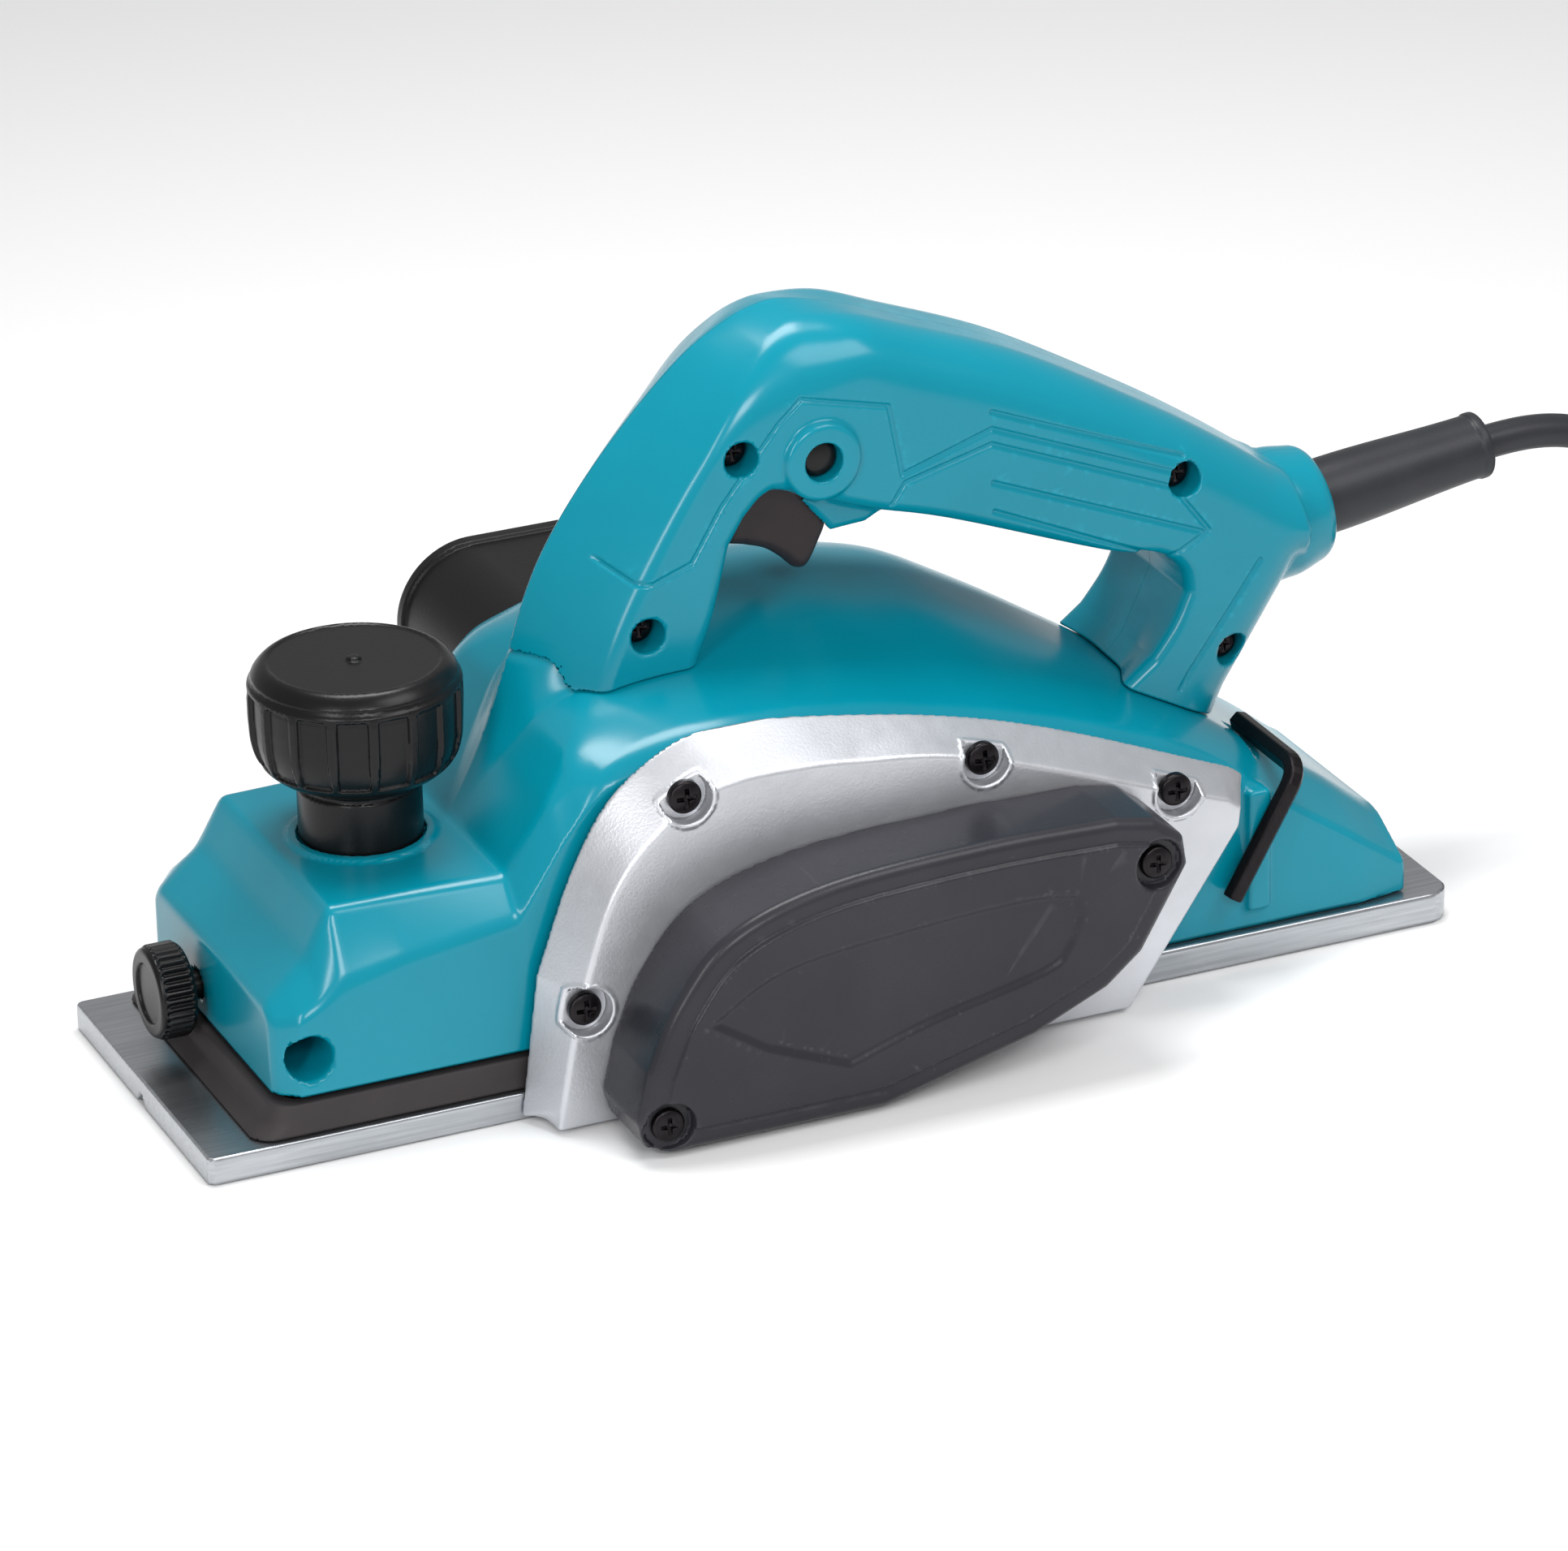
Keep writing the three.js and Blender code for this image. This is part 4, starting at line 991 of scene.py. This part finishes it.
TRIGGER_OUTLINE = outline([
    (130.8, 104.4), (131.5, 116), (133, 122.5), (138, 122), (146, 117), (152.5, 114), (155.4, 110.5),
    *smooth_curve([(152.8, 103.5), (149.2, 96.8), (146.2, 96.3), (143.4, 98.9), (139.5, 101.8),
                   (134.5, 103.6)], 5),
], 5, 0.2, blur=3)


def trigger_field(p):
    x, y, z = p
    return both(TRIGGER_OUTLINE(x, z), np.abs(y - MID) - 9.9, 2.4)


def lock_field(p):
    x, y, z = p
    face = 22.9 + 0.5 * (disc(x, z, LOCK, 0) / 3.8) ** 2
    return both(both(disc(x, z, LOCK, 3.8), face - y, 0.6), y - 36)


def make_controls():
    piece = mould("depth_knob_cap", knob_field, (27, 17, 51), (75, 65, 93), 0.55, KNOB_BLACK, 0.5, 0.12)
    finished(piece, "depth_adjuster", "black_plastic", "depth_knob")
    piece = mould("fence_clamp_screw_knob", clamp_field, (5, 39, 10), (28, 61, 32), 0.32,
                  KNOB_BLACK, 0.6, 0.1)
    finished(piece, "fence_clamp", "black_plastic", "fence_clamp_knob")
    piece = mould("trigger_lever", trigger_field, (130, 30, 96), (156, 52, 123), 0.5, TRIGGER_DARK, 0.5)
    finished(piece, "trigger", "trigger_plastic", "trigger")
    piece = mould("lock_button_cap", lock_field, (144, 22, 119), (152.5, 37, 128), 0.3, KNOB_BLACK, 0.5)
    finished(piece, "lock_button", "black_plastic", "lock_button")


# ---- nozzle, guard and wrench
def nozzle_field(p):
    section = nozzle_section(p)
    rim = 0.9 * ease(p[1], 122.4, 123.2)
    tube = both(section - rim + 0.9, slab(p[1], NOZZLE["y0"], NOZZLE["y1"]), 0.7)
    return carved(tube, section + NOZZLE["wall"] + 0.6, 0.6)


def guard_field(p):
    radius, along = along_guard(p)
    length = math.hypot(GUARD_TIP[0] - GUARD_ROOT[0], GUARD_TIP[2] - GUARD_ROOT[2])
    outer = 8.4 - 1.3 * ease(along, 4, length) + 0.35 * ease(along, length - 2.6, length - 2)
    sleeve = both(radius - outer, slab(along, -10, length), 0.9)
    return carved(sleeve, radius - 4.05, 0.5)


def swept(name, path, section, material):
    """A closed bar of the (across, up) section along a path."""
    path = np.asarray(path, float)
    ways = np.gradient(path, axis=0)
    ways /= np.linalg.norm(ways, axis=1)[:, None]
    side = np.cross(ways[0], (0.3, 0.2, 1))
    rings = []
    for point, way in zip(path, ways):
        side = side - way * (side @ way)
        side /= np.linalg.norm(side)
        up = np.cross(way, side)
        rings += [point + a * side + b * up for a, b in section]
    n, last = len(section), len(path) - 1
    faces = [(i * n + j, i * n + (j + 1) % n, (i + 1) * n + (j + 1) % n, (i + 1) * n + j)
             for i in range(last) for j in range(n)]
    faces += [tuple(range(n))[::-1], tuple(range(last * n, (last + 1) * n))]
    made = mesh_object(name, np.array(rings), faces, material)
    made.data.polygons.foreach_set("use_smooth", [False] * len(made.data.polygons))
    bevel = made.modifiers.new("edges", "BEVEL")
    bevel.width = 0.35 * MM
    bevel.segments = 2
    bevel.limit_method = "ANGLE"
    bevel.angle_limit = math.radians(28)
    return made


WRENCH_CORNERS = ((246.9, 26.4, 44.2), (246.9, -1.6, 44.2), (231.3, -1.6, 17))
WRENCH_RADIUS, WRENCH_BEND = 2.4, 5


def wrench_path():
    """Down the stored arm, round the bend and along the short foot."""
    arm, bend, foot = (np.array(corner, float) for corner in WRENCH_CORNERS)
    back = (arm - bend) / np.linalg.norm(arm - bend) * WRENCH_BEND
    ahead = (foot - bend) / np.linalg.norm(foot - bend) * WRENCH_BEND
    turn = [bend + (1 - t) ** 2 * back + t * t * ahead for t in np.linspace(0, 1, 9)]
    return [arm, *turn, foot]


def make_fittings():
    piece = mould("chip_chute", nozzle_field, (91, 82, 39), (141, 127, 77), 0.7, NOZZLE_BLACK, 0.3)
    finished(piece, "shell", "black_plastic", "chip_nozzle")
    piece = mould("cord_guard_sleeve", guard_field, (259, 31, 74), (315, 51, 101), 0.6, CORD_RUBBER, 0.4)
    finished(piece, "shell", "cord_rubber", "cord_guard")
    section = [(WRENCH_RADIUS * math.cos(i * math.pi / 3), WRENCH_RADIUS * math.sin(i * math.pi / 3))
               for i in range(6)]
    piece = swept("hex_wrench_bar", wrench_path(), section, BLACK_STEEL)
    finished(piece, "hex_wrench", "dark_steel", "hex_wrench")


# ---- screws
def screw_field(p, centre, y0, head, thick, shank, length):
    x, y, z = p
    radius = disc(x, z, centre, 0)
    dome = y0 + 0.35 * thick * (radius / head) ** 2
    shape = both(both(radius - head, dome - y, 0.45), y - y0 - thick, 0.15)
    shape = np.minimum(shape, both(radius - shank, slab(y, y0 + thick - 0.2, y0 + thick + length)))
    u, v = np.abs(x - centre[0]), np.abs(z - centre[1])
    depth = y - (y0 + 0.62 * thick)
    arms = [both(a - 0.12 * head - 0.03, b - 0.6 * head) for a, b in ((u, v), (v, u))]
    recess = both(np.minimum(*arms), depth + 0.5 * np.maximum(u, v), 0)
    return carved(shape, recess, 0.1)


def make_screws(stem, centres, y0, head, thick, shank, length):
    first = centres[0]
    low = (first[0] - head - 0.5, y0 - 0.5, first[1] - head - 0.5)
    high = (first[0] + head + 0.5, y0 + thick + length + 0.5, first[1] + head + 0.5)
    pattern = mould(f"{stem}_1_head", lambda p: screw_field(p, first, y0, head, thick, shank, length),
                    low, high, 0.24, BLACK_STEEL, 0.5, 0.08)
    for i, centre in enumerate(centres, 1):
        piece = pattern if i == 1 else linked(f"{stem}_{i}_head", pattern.data)
        piece.location = Vector((centre[0] - first[0], 0, centre[1] - first[1])) * MM
        finished(piece, "shell", "dark_steel", f"{stem}_{i}")


# ---- cutter
BLADE_TURNS = (math.radians(60), math.radians(240))


def drum_slots(p):
    u, v = p[0] - DRUM[0], p[2] - DRUM[1]
    slots = []
    for turn in BLADE_TURNS:
        across = u * math.cos(turn) - v * math.sin(turn)
        out = u * math.sin(turn) + v * math.cos(turn)
        slots.append(both(np.abs(across) - 6, 10 - out))
    return np.minimum(*slots)


def drum_field(p):
    shape = pin_y(p, DRUM, 21.5, 0.8, 81.2, 0.7)
    shape = merged(shape, pin_y(p, DRUM, 6, -12, 89, 0.4), 0.6)
    shape = merged(shape, pin_y(p, DRUM, 5, -28.5, 0, 0.4), 0.2)
    return carved(shape, both(drum_slots(p), slab(p[1], 0.4, 81.6)), 0.4)


def make_cutter():
    piece = mould("cutter_drum_body", drum_field, (88, -29, 3), (132, 90, 47), 0.8, STEEL, 0.3)
    finished(piece, "cutter", "bright_steel", "cutter_drum")


# ---- mains cord
CORD_RADIUS = 3.75
CORD_ROUTE = [
    (266, 41, 84.7), (290, 41, 87.9), (313, 41, 91), (327, 41, 91.6), (339, 40.4, 89), (349, 38.8, 82.5),
    (356.5, 36, 73), (361.5, 32.2, 62), (364.5, 28, 50.5), (367, 23.5, 39.5), (370, 19, 29),
    (374, 15.2, 19.5), (379.5, 12.4, 12.1), (386.3, 10.8, 7.2), (394, 10.25, 4.5),
]
COIL = (424, 62)
COIL_RADII = [51.75, 44.25, 36.75, 29.25, 34, 41.5, 49]
COIL_LEVELS = (3.9, 11.4)
COIL_STARTS = [0, 1, 2, 3, 4, 5.61, 6.61]
COIL_END = 7.25
SHIFT = 0.36
ONTO_TOP = (3.2, 3.72)
CORD_STEP = 1.5
EVENINGS = 12
PLUG = (418, 102, 15.5)
PLUG_MIDDLE = PLUG[2] + 7.5
PLUG_BEND = {"x": 443, "y": 72, "radius": 30}
CLIMB = (118, 10)


def coil_points():
    """Four turns inwards on the floor, then three outwards on top of them."""
    points = []
    for turn in np.arange(0.01, COIL_END, 1 / 48):
        now = sum(turn >= start for start in COIL_STARTS) - 1
        radius = COIL_RADII[now]
        if now < 6:
            share = ease(turn, COIL_STARTS[now + 1] - SHIFT, COIL_STARTS[now + 1])
            radius += (COIL_RADII[now + 1] - radius) * share
        level = COIL_LEVELS[0] + (COIL_LEVELS[1] - COIL_LEVELS[0]) * ease(turn, *ONTO_TOP)
        angle = (turn - 0.25) * 2 * math.pi
        points.append((COIL[0] + radius * math.cos(angle), COIL[1] + radius * math.sin(angle), level))
    return points


def cord_path():
    """The centre line at even steps, its bends evened out, with a climb from the coil to the plug."""
    along_floor = [(x, 10.25, COIL_LEVELS[0]) for x in (402, 410, 418)]
    turn_in = [(PLUG_BEND["x"] + PLUG_BEND["radius"] * math.cos(angle),
                PLUG_BEND["y"] + PLUG_BEND["radius"] * math.sin(angle), COIL_LEVELS[1])
               for angle in np.linspace(0, math.pi / 2, 9)]
    ends = [*turn_in, (PLUG[0] + 18, PLUG[1], COIL_LEVELS[1])]
    rough = smooth_curve([*CORD_ROUTE, *along_floor, *coil_points(), *ends], 4)
    gone = np.concatenate([[0], np.cumsum(np.linalg.norm(np.diff(rough, axis=0), axis=1))])
    steps = np.linspace(0, gone[-1], int(gone[-1] / CORD_STEP))
    even = np.stack([np.interp(steps, gone, row) for row in rough.T], axis=1)
    for _ in range(EVENINGS):
        even[1:-1] = (even[:-2] + 2 * even[1:-1] + even[2:]) / 4
    even[:, 2] += (PLUG_MIDDLE - COIL_LEVELS[1]) * ease(steps - gone[-1], -CLIMB[0], -CLIMB[1])
    return even


def plug_field(p):
    x, y, z = p
    body = block(p, (PLUG[0] - 12, PLUG[1] - 14, PLUG[2]), (PLUG[0] + 12, PLUG[1] + 14, PLUG[2] + 15), 4)
    across = np.hypot(y - PLUG[1], z - PLUG_MIDDLE)
    neck = both(across - (6.4 - 0.09 * (x - PLUG[0] - 12)), slab(x, PLUG[0] + 8, PLUG[0] + 24), 0.8)
    ribs = 0.5 * np.cos((x - PLUG[0]) * 2 * math.pi / 3.2) * ease(x, PLUG[0] + 12.5, PLUG[0] + 14)
    shape = merged(body, neck + np.clip(ribs, -0.5, 0.2), 2)
    grip = np.abs(np.abs(y - PLUG[1]) - 13.6) - 0.6
    shape = carved(shape, both(grip + 0.4, np.abs(np.mod(x, 3.2) - 1.6) - 0.5), 0.2)
    return carved(shape, both(across - CORD_RADIUS - 0.15, PLUG[0] + 17 - x))


def pin_field(p):
    x, y, z = p
    across = np.hypot(np.abs(y - PLUG[1]) - 9.5, z - PLUG_MIDDLE)
    return both(across - 2.4, slab(x, PLUG[0] - 30, PLUG[0] - 11.5), 1.2)


def make_cord():
    curve = bpy.data.curves.new("mains_lead", "CURVE")
    curve.dimensions = "3D"
    curve.bevel_depth = CORD_RADIUS * MM
    curve.bevel_resolution = 4
    curve.use_fill_caps = True
    spline = curve.splines.new("POLY")
    placed = place(cord_path())
    spline.points.add(len(placed) - 1)
    spline.points.foreach_set("co", np.hstack([placed, np.ones((len(placed), 1))]).ravel())
    spline.use_smooth = True
    curve.materials.append(CORD_RUBBER)
    lead = linked("mains_lead", curve)
    finished(lead, "shell", "cord_rubber", "mains_cord", "cord_coil")
    body = mould("plug_body", plug_field, (404, 86, 14), (444, 118, 32), 0.6, CORD_RUBBER, 0.5)
    finished(body, "shell", "cord_rubber", "mains_plug")
    pins = mould("plug_pins", pin_field, (387, 86, 14), (408, 118, 32), 0.5, BRASS, 0.5)
    finished(pins, "shell", "brass")


# ---- carried-over nodes
NODE_LOOKS = [
    (STEEL, ["driven_pulley", "drive_pulley", "drum_bearing_left", "drum_bearing_right", "armature_shaft",
             "motor_bearing_left", "motor_bearing_right", "depth_screw"]),
    (BELT_RUBBER, ["drive_belt"]),
    (BLADE, ["planer_blade_1", "planer_blade_2"]),
    (BLACK_STEEL, ["blade_clamp_1", "blade_clamp_2", "depth_spring"]),
    (LAMINATION, ["armature_core", "stator"]),
    (COPPER, ["commutator"]),
    (NOZZLE_BLACK, ["cooling_fan"]),
    (CARBON, ["brush_left", "brush_right"]),
    (BRASS, ["brush_holder_left", "brush_holder_right"]),
    (KNOB_BLACK, ["switch_module"]),
]


def dress_nodes():
    for material, names in NODE_LOOKS:
        for name in names:
            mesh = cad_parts[name].data
            mesh.materials.clear()
            mesh.materials.append(material)


make_camera()
make_cord()
make_housing()
make_handle()
make_belt_side()
make_soles()
make_controls()
make_fittings()
make_screws("frame_screw", FRAME_SCREWS, -9.8, 3.6, 2.6, 2, 11)
make_screws("cover_screw", COVER_SCREWS, -30.4, 3.6, 2.2, 1.6, 20)
make_screws("handle_screw", HANDLE_SCREWS, 27.2, 3.3, 2.4, 1.6, 22)
make_cutter()
dress_nodes()


# ---- stage
def area_light(name, at, size, power, aim=(150, MID, 40), colour=(1, 1, 1)):
    data = bpy.data.lights.new(name, "AREA")
    data.shape = "RECTANGLE"
    data.size, data.size_y = size
    data.energy = power
    data.color = colour
    lamp = linked(name, data)
    spot = Vector(place(at))
    lamp.location = spot
    lamp.rotation_mode = "QUATERNION"
    lamp.rotation_quaternion = (Vector(place(aim)) - spot).to_track_quat("-Z", "Y")


def make_stage():
    mesh = bpy.data.meshes.new("floor")
    shape = bmesh.new()
    bmesh.ops.create_grid(shape, x_segments=1, y_segments=1, size=4)
    shape.to_mesh(mesh)
    shape.free()
    floor = linked("floor", mesh)
    floor.location.z = -0.0002
    look = Look("pale_floor", 0.9)
    pale = look.ramp(look.noise(2, 2), [(0, (0.86, 0.86, 0.86)), (1, (0.88, 0.88, 0.88))])
    look.link(pale, "Base Color")
    mesh.materials.append(look.material)
    world = bpy.data.worlds.new("studio")
    world.use_nodes = True
    world.node_tree.nodes["Background"].inputs["Color"].default_value = (1, 1, 1, 1)
    world.node_tree.nodes["Background"].inputs["Strength"].default_value = 0.42
    bpy.context.scene.world = world
    area_light("overhead", (150, 160, 850), (0.5, 0.26), 5.5)
    area_light("near_key", (-60, -900, 620), (0.3, 0.25), 3.2)
    area_light("left_strip", (-560, -560, 430), (0.12, 0.5), 2.6)
    area_light("right_fill", (480, -480, 780), (0.5, 0.4), 3)
    area_light("backdrop", (100, 1900, 900), (2.5, 1), 30, (100, 2600, 0))


make_stage()
bpy.context.scene.view_settings.view_transform = "Standard"
